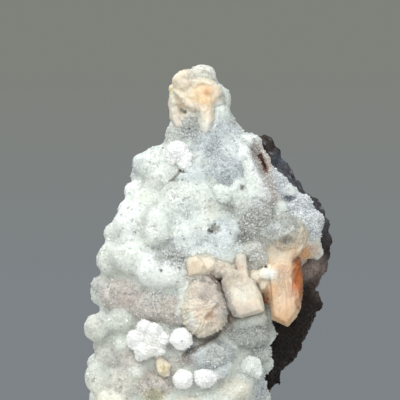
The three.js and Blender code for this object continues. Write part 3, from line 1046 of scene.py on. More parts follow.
@dataclass
class BrokenBasalt:
    """The dark stone behind and beside the druse."""

    voxel: float = 0.58
    coarse: float = 0.75  # how deep the large breaks are
    middle: float = 0.4
    fine: float = 0.24
    step: float = 0.16  # how high its flat steps are
    deepest: float = 1.5  # nothing is broken away deeper than this
    grit: float = 0.09
    turn: Triple = (0.5, 0.3, 0.8)
    vugs: Rows = (
        (-9, 24, 58, 2.6), (4, 25, 44, 3.4), (14, 25, 30, 2.4), (-15, 22, 33, 3),
        (2, 24, 20, 2.2), (-6, 25, 12, 2.8), (20, 19, 48, 2.2), (27, 12, 40, 1.8),
        (16, 19, 16, 1.8), (10, 15, 68, 1.8), (23, 10, 26, 1.6),
    )  # small open gas holes: across, depth, up, radius
    lumps: Rows = (
        (28.6, 2.5, 56.4, 2), (29.6, 3, 53.8, 2.3), (30, 4, 50.2, 2.2),
        (22.8, 3.5, 23.6, 1.8), (15, 3.4, 73.2, 1.8), (17.2, 3.6, 71.4, 2),
        (18.6, 3.8, 68.8, 2), (20.4, 4, 66.2, 2), (22.6, 4.2, 63.4, 2),
    )  # knobs on the edge: across, depth, up, radius
    shaves: Rows = (
        (21.5, 12.8, 4.2, 3.4), (19.4, 15.4, 2.6, 1.8), (12.6, 77.8, 2.4, 1.4),
    )  # places worn back: across, up, reach, depth
    patches: Layers = laid(
        (26.5, 43, 5, Tint.MAUVE_STONE, 0.95, 4.6), (28.6, 37, 3, Tint.MAUVE_STONE, 0.5, 3),
        # (22, 25) and (24, 33): the stone's own dark colour with painted shadow at its lower
        # right
        (22, 25, 8, Tint.DARK_STONE_AND_SHADE, 0.9, 8), (24, 33, 4, Tint.DARK_STONE_AND_SHADE, 0.7),
        (19.5, 69, 5, Tint.BASALT_BLUE, 0.9, 4), (22.6, 63, 3.6, Tint.BASALT_BLUE, 0.8, 5),
        (30, 56, 4, Tint.BASALT_BLUE, 0.7, 7),
    )
    seed: int = 11
    skin: Skin = field(init=False)
    inner: Array = field(init=False)  # how deep each point lies in a gas hole

    def shape(self) -> None:
        """Breaks the surface and opens the gas holes."""
        lumps = np.array(self.lumps)
        knobs = balls(lumps[:, :3] + GROWN_FROM, lumps[:, 3])
        whole = Skin.together([Skin.of_node("basalt_matrix"), knobs])
        skin = whole.fused(self.voxel, self.turn).relaxed(1)
        at = skin.table
        breaks = self.coarse * (ridged(at, 6.5, 1) - 0.75)
        breaks += self.middle * (ridged(at, 2.6, 2) - 0.7)
        breaks *= 1 - 0.7 * eased((at[:, 2] - 58) / 5) * eased((at[:, 0] - 8) / 4)
        breaks += self.fine * wander(at, 1.1, 3)
        for x, z, reach, depth in self.shaves:
            breaks -= depth * eased(1.3 - off(at, x, z) / reach)
        steps = np.floor(wander(at * (1, 1, 1.6), 5.2, 4) * 4) * self.step
        self.inner = np.zeros(len(at))
        for x, y, z, radius in self.vugs:
            gap = np.linalg.norm((at - (x, y, z)) * (1, 0.55, 1), axis=1) / radius
            gap += 0.18 * wander(at, 1.4, 5)
            self.inner = np.maximum(self.inner, eased(1.35 - gap) * radius * 0.75)
        push = (breaks + steps - self.inner) * eased(at[:, 2] / BASE_FADE)
        self.skin = skin.pushed(np.maximum(push, -self.deepest))
        shake = np.random.default_rng(self.seed).normal(scale=self.grit, size=at.shape)
        self.skin.points += shake * eased(at[:, 2:] / BASE_FADE)
        self.skin.points[:, 2] = np.maximum(self.skin.points[:, 2], 0)

    def tints(self) -> Array:
        """The stone's colours, with pale crust in the gas holes, grains over it, and painted
        shade on its low front and lower right.
        """
        at = self.skin.table
        across, deep, up = at.T
        high = eased((up - 34) / 10)
        dust = 0.45 * eased(2.4 * wander(at, 1.5, 12) - 0.8) * eased((up - 50) / 6)
        colours = painted(at, Tint.BASALT, self.patches)
        for share, tint in (
            (0.45 * eased(0.5 + 1.3 * wander(at, 4.5, 6)), Tint.BROWN_STONE),
            (0.6 * eased(2.2 * wander(at, 7.5, 7) - 0.5) * (deep > 2), Tint.MAUVE_STONE),
            ((0.06 + 0.3 * high) * (wander(at, 0.9, 8) > 0.42), Tint.BASALT_BLUE),
            (dust * (across > 12), Tint.BLUE_GREY),
            (0.85 * eased(self.inner / 0.9), Tint.WHITE_CRUST),
            (0.22 * eased((ridged(at, 5.5, 9) - 0.955) * 30) * (deep > 4), Tint.MAUVE_STONE),
            # painted shade: the low front of the stone, under the druse, is made nearly black
            (0.75 * (1 - high) * (deep < 4), Tint.DARK_STONE_AND_SHADE),
        ):
            colours = tinted(colours, share, tint)
        return colours * (1 + 0.12 * wander(at, 0.8, 10))[:, None]

    def build(self) -> None:
        """Shapes, colours and places the stone."""
        self.shape()
        node = "basalt_matrix"
        set_out("basalt_stone", self.skin, self.tints(), STONE.material(), [node])


# ---- Druse ---------------------------------------------------------------------------------


@dataclass(frozen=True)
class Lobe:
    """A rounded lobe: its middle and half its size across and up, and how proud it stands."""

    x: float
    z: float
    wide: float
    tall: float
    rise: float
    tint: Tint = Tint.MINT_WHITE
    lean: float = 0.0  # how far its top leans to the right, in radians


def lobed(*rows: tuple) -> tuple[Lobe, ...]:
    """Makes a lobe of each row of values."""
    return tuple(Lobe(*row) for row in rows)


@dataclass
class Druse:
    """The milky druse: overlapping lobes under a skin of small four-sided points."""

    voxel: float = 0.55
    knobs: int = 3000
    knob_radius: Pair = (0.5, 1.2)
    knob_sink: float = 0.72  # share of a knob's radius that lies inside
    knob_clear: float = 1.3  # no knob is nearer to the stone
    knob_low: float = 1.6  # nor to the base
    knob_back: float = 0.75  # none faces further back; 1 would be straight back
    point_height: Pair = (0.06, 0.24)
    tall_share: float = 0.07
    tall_height: Pair = (0.3, 0.6)
    own: float = 0.9  # how much of its own tint a lobe has
    crystals: int = 5600
    crystal_width: Pair = (0.35, 0.85)
    crystal_height: Pair = (0.3, 0.65)  # share of its width
    clear: int = 1000  # clear points
    contact: float = 0.75  # nearer than this to the stone, the druse is hidden
    under: float = 0.5  # and lower than this, it is too
    lobe_voxel: float = 0.6
    turn: Triple = (0.41, 0.73, 0.29)
    calming: float = 0.9  # how much the milky parts are evened out
    sink: float = 0.16  # how far the bed of the points lies under the lobes' surface
    grit: float = 0.04
    side: float = -22.0  # the lobes to the left of this make the side
    forward: float = 2.4  # how far they come forward unevenly, on average
    seed: int = 5
    lobes: tuple[Lobe, ...] = lobed(
        # Finger and neck
        (-0.5, 91.3, 3.4, 2.9, 0.8, Tint.CREAM_DRUSE),
        (4.9, 85, 1.9, 3.2, 0.8, Tint.GREY_GREEN),
        (3.9, 81.6, 2.6, 2.8, 0.9, Tint.MINT_WHITE, -0.2),
        (-3, 78.2, 3.4, 2.6, 0.5, Tint.SMOKE_GREY),
        (-7.6, 75.8, 2.3, 2.8, 0.6, Tint.GREY_GREEN), (4.6, 76.8, 4.4, 2.4, 0.5, Tint.BLUE_GREY),
        (0.5, 72.5, 3.5, 3.8, 0.5, Tint.BLUE_GREY),
        (10.2, 74.4, 2.3, 2.2, 1.5, Tint.BRIGHT_WHITE),
        (6.2, 72.2, 2.5, 2.2, 1.1, Tint.COOL_WHITE), (9.3, 71.4, 2.5, 2.3, 1, Tint.COOL_WHITE),
        (5.2, 67, 3.8, 3.2, 0.8, Tint.BLUE_GREY),
        (10.6, 66.4, 1.8, 3.6, 0.9, Tint.BRIGHT_WHITE, 0.25),
        (7.9, 63.8, 2.2, 1, 1.1, Tint.BRIGHT_WHITE, -0.75),
        (11.8, 61.8, 2.3, 2.2, 0.8, Tint.MINT_WHITE),
        # Upper left
        (-11.4, 68, 5.4, 4.3, 1.2), (-16, 69, 2.4, 2.9, 0.8, Tint.COOL_WHITE),
        (-11.6, 72.2, 2.4, 1.8, 0.9, Tint.COOL_WHITE),
        (-12.4, 63.4, 3.4, 1.8, 0.3, Tint.GREY_GREEN),
        (-17.8, 62.4, 2.6, 2.4, 1.1, Tint.BRIGHT_WHITE), (-14.9, 60.8, 3.2, 1.9, 0.6),
        (-20, 57.4, 1.9, 2.7, 1, Tint.BRIGHT_WHITE), (-23.4, 51.9, 2, 2.4, 0.8),
        # Middle
        (-2.4, 59, 6.1, 7.6, 1, Tint.MINT_WHITE),
        (-2.9, 65.8, 3.8, 2.8, 1.1, Tint.COOL_WHITE), (-11.9, 53.2, 3.7, 5.2, 1),
        (-17.4, 53.4, 5.4, 6.2, 0.8, Tint.BRIGHT_WHITE),
        (-3.6, 49.4, 4.9, 3, 0.5, Tint.COOL_WHITE), (4, 49.8, 4.4, 4.4, 1.1, Tint.COOL_WHITE),
        (12.8, 54.6, 4.2, 5.1, 1.8, Tint.GLASS_GREY), (9.6, 57.6, 3.1, 2.9, 1.3, Tint.GREY_GREEN),
        (12.8, 46.8, 2.8, 3.6, 0.9, Tint.GREIGE),
        # Broad lower lobes
        (-23, 45.4, 3.9, 4.1, 0.9), (-17.6, 45.6, 5.2, 4.4, 0.6),
        (-10.9, 42.6, 6.6, 4.7, 1.1, Tint.BRIGHT_WHITE),
        (-6, 39.6, 2.6, 5, 0.9, Tint.COOL_WHITE),
        # Mauve band
        (-21.6, 36.6, 4.8, 3.4, 0.6, Tint.MAUVE_SUGAR), (-26.2, 39, 2.2, 2.2, 0.8, Tint.GREIGE),
        (-13.4, 33.8, 5.2, 3.4, 0.5, Tint.MAUVE_SUGAR),
        (-8.2, 32.8, 3.4, 3, 0.4, Tint.MAUVE_SUGAR),
        # Lower left
        (-20.8, 30.2, 3.8, 3.1, 1.1, Tint.GREY_GREEN),
        (-26.8, 28.6, 3.2, 3.7, 0.9, Tint.GREY_GREEN), (-24, 22.4, 3.4, 3.4, 0.7, Tint.GREIGE),
        (-18, 20.6, 3.6, 3.2, 0.5, Tint.GREIGE), (-26.8, 16.2, 3, 4.2, 0.9, Tint.GREY_GREEN),
        (-20.4, 14.6, 3.8, 3.4, 0.7, Tint.GREIGE), (-12.4, 14.6, 3.8, 2.8, 0.5, Tint.MAUVE_SUGAR),
        (-23, 10.2, 4.2, 3.2, 0.9, Tint.CREAM_DRUSE),
        # Under the crystals and lower right
        (1.4, 21.8, 5.2, 3.4, 1.4, Tint.BLUE_GREY), (10.6, 26.6, 4.2, 2.8, 0.8, Tint.SMOKE_GREY),
        (13.8, 22.4, 2.8, 3, 0.8, Tint.SMOKE_GREY),
        (6.6, 13.2, 4, 2.8, 0.7, Tint.CREAM_DRUSE), (13, 13.8, 2.4, 3.2, 0.7, Tint.BLUE_GREY),
        (-4, 9, 4.5, 3, 0.8, Tint.CREAM_DRUSE),
        # Over the stone
        (18.2, 64.5, 2.4, 2.5, 0.7, Tint.WHITE_CRUST),
        (23.4, 59, 3, 2.4, 0.9, Tint.WHITE_CRUST),
        (27.2, 54.4, 2.4, 3.2, 0.9, Tint.WHITE_CRUST),
        (23, 54, 3, 3, 0.7, Tint.WHITE_CRUST),
    )
    ridges: tuple[tuple[Rows, float, float], ...] = (
        (
            ((-6, 43), (-5.7, 45.2), (-2.8, 46.9), (0.2, 47.3), (3.4, 46), (6.4, 45.2)),
            1.5,
            2.3,
        ),
        (
            (
                (-6.4, 45.4), (-6, 43.2), (-5.3, 41.2), (-4.7, 38.6), (-5.3, 36), (-6, 33),
                (-5.7, 30.4),
            ),
            1.6,
            3.0,
        ),
        (((1.6, 40.8), (3.4, 38.4), (4.6, 36), (5.6, 33.4), (6.2, 31.2)), 1.2, 3.2),
        (((-4, 40.8), (-1.8, 41.3), (0.4, 41.6), (2.6, 41.2)), 1, 3.2),
        (((14.8, 49.4), (14.9, 46.6), (15, 44.2)), 1.2, 2.6),
        (((-3.9, 41.2), (-4, 38.6)), 1.3, 2.6),
        (((-1.6, 25), (1.4, 26), (4.2, 27.8), (6.4, 29.6)), 1.1, 0.9),
        (((7, 30.2), (9.4, 30), (12.4, 30.8), (14.6, 31.4)), 1.6, 2.6),
        (((6.8, 44.2), (7.2, 46.8), (9.2, 48.2), (11.2, 46.6), (11.6, 42.6)), 1.3, 1.3),
    )  # crust heaped against the crystals: path across and up, radius, how proud it stands
    bank: Rows = (
        (13.4, -3.6, 72.6), (14.4, -4.2, 70.6), (15, -5.2, 68.2), (15.5, -6.6, 65.8),
        (15.9, -8.4, 63.4), (16.3, -10, 61),
    )  # the slope inside the fold
    near_lip: Rows = (
        (9.4, 71.8), (10.6, 70.6), (11.4, 69), (12.8, 66), (14.2, 63.2), (15.4, 60.8),
    )
    far_lip: Rows = (
        (12.8, -3.4, 74.2), (14.6, -3.2, 72.4), (16.2, -3.6, 70.2), (16.9, -5, 67.4),
        (17.2, -8, 64), (17.2, -10, 61.2),
    )
    fold: Rows = ((13.4, 71.4), (14.5, 69.2), (15.3, 67.2))
    patches: Layers = laid(
        # Finger and neck
        (-0.5, 91.6, 4.4, Tint.GREIGE, 0.25, 4), (-5, 50, 3.6, Tint.BLUE_GREY, 0.2),
        (-27.8, 28.2, 4, Tint.GREIGE, 0.6), (-12.2, 66, 3.6, Tint.GREY_GREEN, 0.16, 4),
        (11.6, 51, 3.2, Tint.GREIGE, 0.45), (9.6, 75, 4, Tint.BRIGHT_WHITE, 0.6, 3),
        (4.2, 88.5, 2.4, Tint.COOL_WHITE, 0.33), (5.4, 84.5, 3, Tint.GREY_GREEN, 0.44, 4.4),
        (3.8, 80.8, 2.2, Tint.COOL_WHITE, 0.7), (-3, 77.6, 3.6, Tint.SMOKE_GREY, 0.8, 3.4),
        (-3, 78, 3, Tint.SMOKY, 0.45, 2.4), (-6.6, 75.8, 3.4, Tint.SMOKE_GREY, 0.6),
        (3.5, 76, 8, Tint.BLUE_GREY, 0.6, 3.4), (0.5, 71.8, 5, Tint.BLUE_GREY, 0.5, 5),
        (8.4, 73, 4, Tint.COOL_WHITE, 0.5, 3), (10, 74.6, 2.6, Tint.BRIGHT_WHITE, 0.9),
        (5.4, 67.4, 3.8, Tint.BLUE_GREY, 0.47, 3.6),
        # Upper left and the middle
        (-16.4, 68.8, 3, Tint.COOL_WHITE, 0.5, 4), (-11.5, 67.5, 3, Tint.BRIGHT_WHITE, 0.33),
        (-13, 62.4, 4.2, Tint.GREY_GREEN, 0.44, 2.4), (-18.6, 61.8, 2.6, Tint.BRIGHT_WHITE, 0.5),
        (-15.6, 60.4, 2.4, Tint.YELLOW_GREEN, 0.39), (-2.5, 65.6, 4, Tint.PALE_BLUE, 0.6, 2.6),
        # painted light: the middle's downward-facing lower part (-4.4, 56.4) and the dip below it
        # (-4.8, 50.2) are lifted towards white
        (-4.4, 56.4, 5.4, Tint.COOL_WHITE, 0.5, 4.4),
        (1.2, 57.4, 2.4, Tint.CREAM_DRUSE, 0.44, 2.8), (-4.8, 50.2, 4, Tint.BRIGHT_WHITE, 0.6, 4),
        (-12, 52.6, 3.8, Tint.BRIGHT_WHITE, 0.6, 4.4), (-22.4, 46, 5, Tint.GREY_GREEN, 0.4, 4.4),
        (3.2, 49.6, 3.8, Tint.PALE_BLUE, 0.47, 3.6),
        (((-4.4, 47.6), (-1.2, 49.2), (1, 51)), 1.3, Tint.BLUE_GREY, 0.3),
        (12.4, 58.6, 3.4, Tint.SMOKE_GREY, 0.9, 2), (12.8, 54.4, 5, Tint.GLASS_GREY, 0.95, 5.8),
        (9.4, 50.6, 2.6, Tint.SMOKY, 0.65, 2.2), (12.4, 45.8, 3.4, Tint.GLASS_GREY, 0.6, 3.4),
        (12.6, 55.4, 3, Tint.SMOKY, 0.3, 2.6), (8.6, 58.2, 2.6, Tint.GREY_GREEN, 0.8, 2.2),
        (6.2, 55, 3, Tint.BLUE_GREY, 0.33, 3), (11.5, 61.6, 4, Tint.COOL_WHITE, 0.28, 3),
        (9, 60, 3.4, Tint.GREY_GREEN, 0.33, 2),
        (((-10.4, 46.6), (-8.2, 46.6), (-5.6, 45.6)), 2.6, Tint.SMOKE_GREY, 1),
        (((-9.2, 46.4), (-7.4, 46.2), (-5.8, 45.4)), 1.3, Tint.SMOKY, 0.7),
        # Mauve band
        (-19.4, 36, 7, Tint.MAUVE_SUGAR, 0.7, 3.6), (-18.4, 36, 4.2, Tint.MAUVE_DEEP, 0.5, 3),
        (-12.4, 35.4, 4, Tint.SMOKE_GREY, 0.7, 2.6), (-11, 33.6, 6.4, Tint.MAUVE_SUGAR, 0.7, 3.6),
        (-9.2, 34.2, 4, Tint.TAN_DUST, 0.55, 2.4), (-26.6, 38.8, 2.6, Tint.SMOKE_GREY, 0.5),
        # Lower left
        (-21, 30.2, 5, Tint.GREY_GREEN, 0.33, 3.4), (-27, 28, 3.4, Tint.GREY_GREEN, 0.44, 5),
        (-18.5, 21, 5, Tint.MAUVE_SUGAR, 0.4, 4), (-23.6, 22.6, 3.6, Tint.GREY_GREEN, 0.28, 3.4),
        (-20, 15.4, 4, Tint.CREAM_DRUSE, 0.44, 3.6), (-27, 14, 3.6, Tint.CREAM_DRUSE, 0.44, 5),
        (-13.6, 16.8, 3.6, Tint.TAN_DUST, 0.6, 3), (-9, 18, 3, Tint.MAUVE_SUGAR, 0.8, 4),
        (-12.6, 12, 3.6, Tint.OLIVE_CREAM, 0.85, 2.4), (-24, 8, 5, Tint.CREAM_DRUSE, 0.44, 4),
        # Under the crystals and lower right
        (((-1, 24.8), (3, 27), (6, 29.6)), 1.5, Tint.TAN_DUST, 0.8),
        # painted shadow: a dark line under the round sheaf
        (((-5, 21.6), (-2.6, 23.4), (0.4, 25.2), (3.6, 27.4)), 0.7, Tint.DIRT_AND_SHADE, 0.9),
        (
            ((0.4, 41.2), (1.6, 40.6), (3.4, 38.6), (4.8, 36.2), (5.8, 33.6), (6.4, 31)),
            1.8, Tint.MAUVE_STONE, 0.95,
        ),
        # painted shade at the top of the groove between the round sheaf and the centre blade
        (2.4, 41, 1.3, Tint.GROOVE, 0.9, 1),
        (((-4.4, 40.8), (-1.8, 41.3)), 1.2, Tint.GREIGE, 0.9),
        (-4.6, 20.6, 3, Tint.MAUVE_DEEP, 0.75, 1.6), (2.4, 22.2, 4.6, Tint.SMOKE_GREY, 0.7, 2.8),
        (10.4, 27.6, 4.6, Tint.SMOKE_GREY, 0.47, 3), (13.4, 22.4, 3.4, Tint.SMOKE_GREY, 0.39, 4),
        (14.6, 14, 3, Tint.BLUE_GREY, 0.33, 5), (6.4, 12, 5, Tint.CREAM_DRUSE, 0.28, 3),
        # Over the stone
        (24.6, 56, 6, Tint.WHITE_CRUST, 0.95, 7), (18.4, 64.4, 3.4, Tint.WHITE_CRUST, 0.9, 4),
        (20.8, 60.6, 2.4, Tint.BASALT_BLUE, 1, 1.2), (27.2, 47.4, 2, Tint.PINK_PEACH, 0.6, 2.4),
        (24.6, 46.8, 2.2, Tint.ORANGE_PEACH, 1, 3),
        (24.8, 43.8, 2, Tint.MAUVE_STONE, 1, 1.8),
        # The fold
        (((12.8, 72.2), (14.3, 68), (15.5, 64), (16.4, 60.6)), 2.6, Tint.MAUVE_DEEP, 0.85),
        (((14.4, 67.4), (15.4, 64.6)), 1, Tint.TAN_DUST, 0.5),
        (((13.8, 71), (14.6, 69.2), (15.2, 67.4)), 0.9, Tint.RUST, 1),
        # painted shade in the fold's narrow slit
        (((14.3, 70), (14.8, 68.6)), 0.4, Tint.DARK_STONE_AND_SHADE, 0.5),
        (near_lip, 1.4, Tint.BRIGHT_WHITE, 1),
        (((15.9, 71.2), (16.3, 67.6)), 0.6, Tint.PINK_PEACH, 0.4),
        # Painted shade: thin dark lines in the crevices between lobes, and dark holes
        (((-8.5, 64.6), (-7.2, 66), (-6, 67.4)), 0.5, Tint.DIRT_AND_SHADE, 0.75),
        (((-14.6, 49.2), (-12.4, 48.2), (-9.8, 48.8), (-8.4, 50.6)), 0.7, Tint.SMOKE_GREY, 0.55),
        (((-14, 58.2), (-15.2, 56.2), (-14.7, 54)), 0.8, Tint.GREY_GREEN, 0.7),
        (2.2, 53, 2, Tint.SMOKY, 0.9, 1.3), (1.3, 52.4, 0.8, Tint.DIRT_AND_SHADE, 0.9, 0.6),
        (9.5, 63.2, 0.7, Tint.DIRT_AND_SHADE, 0.7, 0.9), (6.2, 57.9, 2.6, Tint.SMOKY, 0.5, 1.5),
    )
    pits: Rows = (
        (-5.9, 67.4, 0.8, 0.8), (-7.7, 64.9, 0.8, 0.7), (1.2, 52.4, 0.8, 0.6),
        (2.8, 53.4, 1, 0.25), (6.2, 57.8, 1.4, 0.3), (-10.8, 42.6, 0.35, 0.8),
        (9.4, 63.2, 0.8, 0.5), (-5.1, 82.1, 0.7, 0.8),
    )  # small holes, pushed in and darkened by painted shade: across, up, radius, how dark
    speckled: ClassVar[dict[Tint, float]] = {
        Tint.BLUE_GREY: 0.35,
        Tint.SMOKE_GREY: 0.55,
        Tint.GLASS_GREY: 0.75,
        Tint.SMOKY: 1.0,
        Tint.GREIGE: 0.2,
        Tint.MAUVE_SUGAR: 0.42,
        Tint.MAUVE_DEEP: 0.8,
        Tint.TAN_DUST: 0.65,
        Tint.OLIVE_CREAM: 0.25,
        Tint.WHITE_CRUST: 0.55,
    }
    middles: list[Triple] = field(init=False)  # of the lobes
    halves: list[Triple] = field(init=False)
    core: Skin = field(init=False)  # the CAD surface
    core_tree: BVHTree = field(init=False)
    stone_tree: BVHTree = field(init=False)
    bed: Skin = field(init=False)  # the skin before its small points
    bed_hidden: Array = field(init=False)
    skin: Skin = field(init=False)
    tip: Array = field(init=False)  # which of the skin's points are small points' tips
    dip: Array = field(init=False)  # how far each lies below its near surroundings, which sets painted shade
    trough: Array = field(init=False)  # the same for its wide surroundings, which sets painted shade too

    def __post_init__(self) -> None:
        """Keeps the CAD surfaces at hand and finds how deep the lobes sit."""
        self.core = Skin.of_node("apophyllite_druse")
        self.core_tree = tree_of(self.core)
        self.stone_tree = tree_of(Skin.of_node("basalt_matrix"))
        self.middles, self.halves = [], []
        for i, lobe in enumerate(self.lobes):
            uneven = self.forward + self.forward * np.sin(LOBE_TURN * i)
            forward = uneven * (lobe.x < self.side)
            deep = 0.3 * (lobe.wide + lobe.tall) + 0.5 * lobe.rise
            y = self.front_of(lobe.x, lobe.z) - 1.15 * lobe.rise + deep - forward
            self.middles.append((lobe.x, y, lobe.z))
            self.halves.append((lobe.wide, deep, lobe.tall))

    def front_of(self, x: float, z: float) -> float:
        """Finds how deep the CAD surface lies at a place seen from the front.

        Args:
            x: How far across the place is, in table millimetres.
            z: How far up it is.

        Returns:
            Its depth, or that of the nearest point where nothing lies behind the place.
        """
        front = ahead(self.core_tree, x, z)
        if front is not None:
            return front - GROWN_FROM[1]
        at = self.core.table
        return float(at[np.argmin(off(at, x, z)), 1])

    def lobe_forms(self) -> list[Skin]:
        """The lobes, the crust heaped against the crystals and the fold's two lips."""
        forms = []
        for lobe, middle, half in zip(self.lobes, self.middles, self.halves):
            forms.append(egg(middle, half, lobe.lean, BLUNT))
        for path, radius, rise in (*self.ridges, (self.near_lip, 1.1, 0.9)):
            crest = [(x, self.front_of(x, z) - rise + radius, z) for x, z in path]
            forms.append(rod(crest, [radius * 0.8] + [radius] * (len(path) - 2) + [radius * 0.8]))
        forms.append(rod(self.bank, [1.3, 1.5, 1.6, 1.8, 2.0, 2.0]))
        forms.append(rod(self.far_lip, [0.8, 0.7, 0.7, 0.7, 0.9, 0.9]))
        forms.append(egg((12.0, -2.6, 75.2), (2.9, 2.2, 1.6), 0.3))
        return forms

    def off_stone(self, points: Array) -> Array:
        """How far some points, in the frame's millimetres, are from the stone."""
        return np.array([self.stone_tree.find_nearest(Vector(at))[3] for at in points])

    def grown(self) -> Skin:
        """The lobes with their knobs, as one closed skin."""
        rng = np.random.default_rng(self.seed)
        whole = Skin.together([self.core, *self.lobe_forms()]).fused(self.lobe_voxel)
        facing = np.abs(whole.normals()[:, 1])
        places, ways = whole.scattered(self.knobs * 2, rng, 1.5 - facing)
        free = (self.off_stone(places) > self.knob_clear) & (places[:, 2] > self.knob_low)
        free &= ways[:, 1] < self.knob_back
        places, ways = places[free][: self.knobs], ways[free][: self.knobs]
        low, high = self.knob_radius
        radii = low + (high - low) * rng.random(len(places)) ** 2
        coarse = self.coarse(places - GROWN_FROM)
        radii *= 0.7 + 0.3 * coarse
        centres = places - ways * (radii * (self.knob_sink + 0.1 * (1 - coarse)))[:, None]
        return Skin.together([whole, balls(centres, radii)]).fused(self.voxel, self.turn)

    def hidden(self, skin: Skin) -> Array:
        """Which points lie against the stone or under the base.

        Args:
            skin: The druse's surface.

        Returns:
            True or False for each point.
        """
        touching = self.off_stone(skin.points) < self.contact
        touching &= skin.normals()[:, 1] > -0.2
        return touching | (skin.points[:, 2] < self.under)

    def shape(self) -> None:
        """Grows the skin of points over the lobes."""
        skin = self.grown().relaxed(1)
        calm = self.calming * (1 - self.coarse(skin.table))
        skin.points += calm[:, None] * (skin.relaxed(8).points - skin.points)
        rng = np.random.default_rng(self.seed + 1)
        hidden = self.hidden(skin)
        at = skin.table
        coarse = self.coarse(at)
        sized = 0.3 + 0.7 * coarse
        uneven = 0.18 * wander(at, 2.6, 1) + 0.09 * wander(at, 1.1, 2)
        push = uneven * sized - self.sink
        front = skin.normals()[:, 1] < 0.3
        for x, z, radius, dark in self.pits:
            gap = off(at, x, z) / radius + 0.4 * wander(at, 0.9, 36)
            push -= np.where(front, 1.3 * dark * eased(1.3 - gap), 0)
        push -= np.where(front, 0.9 * eased(1.2 - gap_to(at, self.fold) / 0.6), 0)
        skin = skin.pushed(np.where(hidden, 0, push))
        shake = rng.normal(scale=self.grit, size=skin.points.shape)
        skin.points += np.where(hidden[:, None], 0, shake)
        count = len(skin.quads)
        heights = rng.uniform(*self.point_height, count)
        tall = rng.random(count) < self.tall_share
        heights = np.where(tall, rng.uniform(*self.tall_height, count), heights)
        heights *= sized[skin.quads[:, 0]]
        chosen = ~hidden[skin.quads].all(axis=1)
        pointed = skin.quads[chosen]
        self.dip, self.trough = (self.sunken(skin, reach, pointed) for reach in (6, 60))
        self.bed, self.bed_hidden = skin, hidden
        self.skin = skin.crystalline(heights, chosen)
        self.skin.points[:, 2] = np.maximum(self.skin.points[:, 2], 0)
        self.tip = np.arange(len(self.skin.points)) >= len(skin.points)

    def sunken(self, skin: Skin, rounds: int, pointed: Array) -> Array:
        """How far each point lies below its surroundings.

        Args:
            skin: The skin before its small points.
            rounds: How widely the surroundings reach.
            pointed: The faces that get a small point, which has its face's own value.

        Returns:
            Millimetres, above 0 in the gaps, for the skin's points and then the small points.
        """
        even = skin.relaxed(rounds)
        below = np.sum((even.points - skin.points) * even.normals(), axis=1)
        return np.concatenate([below, below[pointed].mean(axis=1)])

    def tints(self) -> Array:
        """The druse's colours, with painted shade: the gaps between its tips, its hollows and its
        small holes are darker.
        """
        at = self.skin.table
        loose = strayed(at, 0.5, 2.4, 20)
        seen = painted(loose, self.lobe_tints(at), self.patches)
        blotch = 0.6 * eased(0.5 + 1.6 * wander(at, 7, 33))
        plain = tinted(painted(loose, Tint.COOL_WHITE, ()), blotch, Tint.CREAM_DRUSE)
        colours = plain + eased((2 - at[:, 1]) / 6)[:, None] * (seen - plain)
        # painted shade darkens the small holes
        for x, z, radius, dark in self.pits:
            gap = off(at, x, z) / (radius * 0.8) + 0.4 * wander(at, 0.9, 36)
            share = dark * 0.6 * eased(1.2 - gap) * (at[:, 1] < 0)
            colours = tinted(colours, share, Tint.DIRT_AND_SHADE)
        coarse = self.coarse(loose)
        # painted shade: the gaps between the tips are darker than the tips, and so are near dips
        # and wide troughs
        light = 0.95 + 0.07 * coarse + np.where(self.tip, 0.02, -0.02) * (0.5 + coarse)
        light -= (0.025 + 0.09 * coarse) * np.clip(self.dip / 0.2, -0.4, 1)
        light -= 0.04 * np.clip(self.trough / 0.7, -0.5, 1)
        return np.column_stack([colours * light[:, None], speckle_of(coarse)])

    def owners(self, at: Array) -> tuple[Array, Array, Array]:
        """Finds the lobe that each point belongs to.

        Args:
            at: Points in table millimetres.

        Returns:
            The lobe's number, how far out on it the point is, from 1 on its surface, and the
            same for the next nearest lobe.
        """
        best, second = np.full(len(at), 9.0), np.full(len(at), 9.0)
        who = np.zeros(len(at), int)
        shift = 0.05 * wander(at, 1.4, 35)
        for i, (lobe, middle, half) in enumerate(zip(self.lobes, self.middles, self.halves)):
            spin = np.array(Euler((0, lobe.lean, 0)).to_matrix())
            inside = np.abs((at - middle) @ spin) / half
            flat = np.hypot(inside[:, 0], inside[:, 2])
            away = (flat**BLUNT + inside[:, 1] ** BLUNT) ** (1 / BLUNT) + shift
            mine = away < best
            second = np.where(mine, best, np.minimum(second, away))
            best = np.where(mine, away, best)
            who[mine] = i
        return who, best, second

    def lobe_tints(self, at: Array) -> Array:
        """The colour of the lobe that each point belongs to, changing sharply between lobes, with
        painted shade along the seams and edges.

        Args:
            at: Points in table millimetres.

        Returns:
            One linear colour for each point.
        """
        who, best, second = self.owners(at)
        tones = 1 + 0.03 * np.sin(LOBE_TURN * np.arange(len(self.lobes)))
        tints = np.array([lobe.tint.linear for lobe in self.lobes]) * tones[:, None]
        # the ground between lobes: partly its own grey-green, partly painted shade
        ground = 0.75 * Tint.MINT_WHITE.linear + 0.25 * Tint.GREY_GREEN.linear
        share = (self.own * eased((1.35 - best) / 0.25))[:, None]
        colours = ground + share * (tints[who] - ground)
        # painted shade: 5 % darker along the seams between lobes and round their edges
        seam = eased(1 - (second - best) / 0.1) * (best < 1.3)
        rim = eased(1 - np.abs(best - 1.18) / 0.08)
        return colours * (1 - 0.05 * np.maximum(seam, rim))[:, None]

    def coarse(self, at: Array) -> Array:
        """How coarse and speckled the druse is at some points, from 0 to 1.

        Args:
            at: Points in table millimetres.

        Returns:
            One number for each point.
        """
        who, best, _ = self.owners(at)
        own = np.array([self.speckled.get(lobe.tint, 0.0) for lobe in self.lobes])[who]
        share = np.maximum(np.where(at[:, 1] > 4, 0.3, 0.0), own * (best < 1.25))
        for patch in self.patches:
            if patch.tint in self.speckled:
                share = np.maximum(share, patch.weight(at) * self.speckled[patch.tint])
        return share

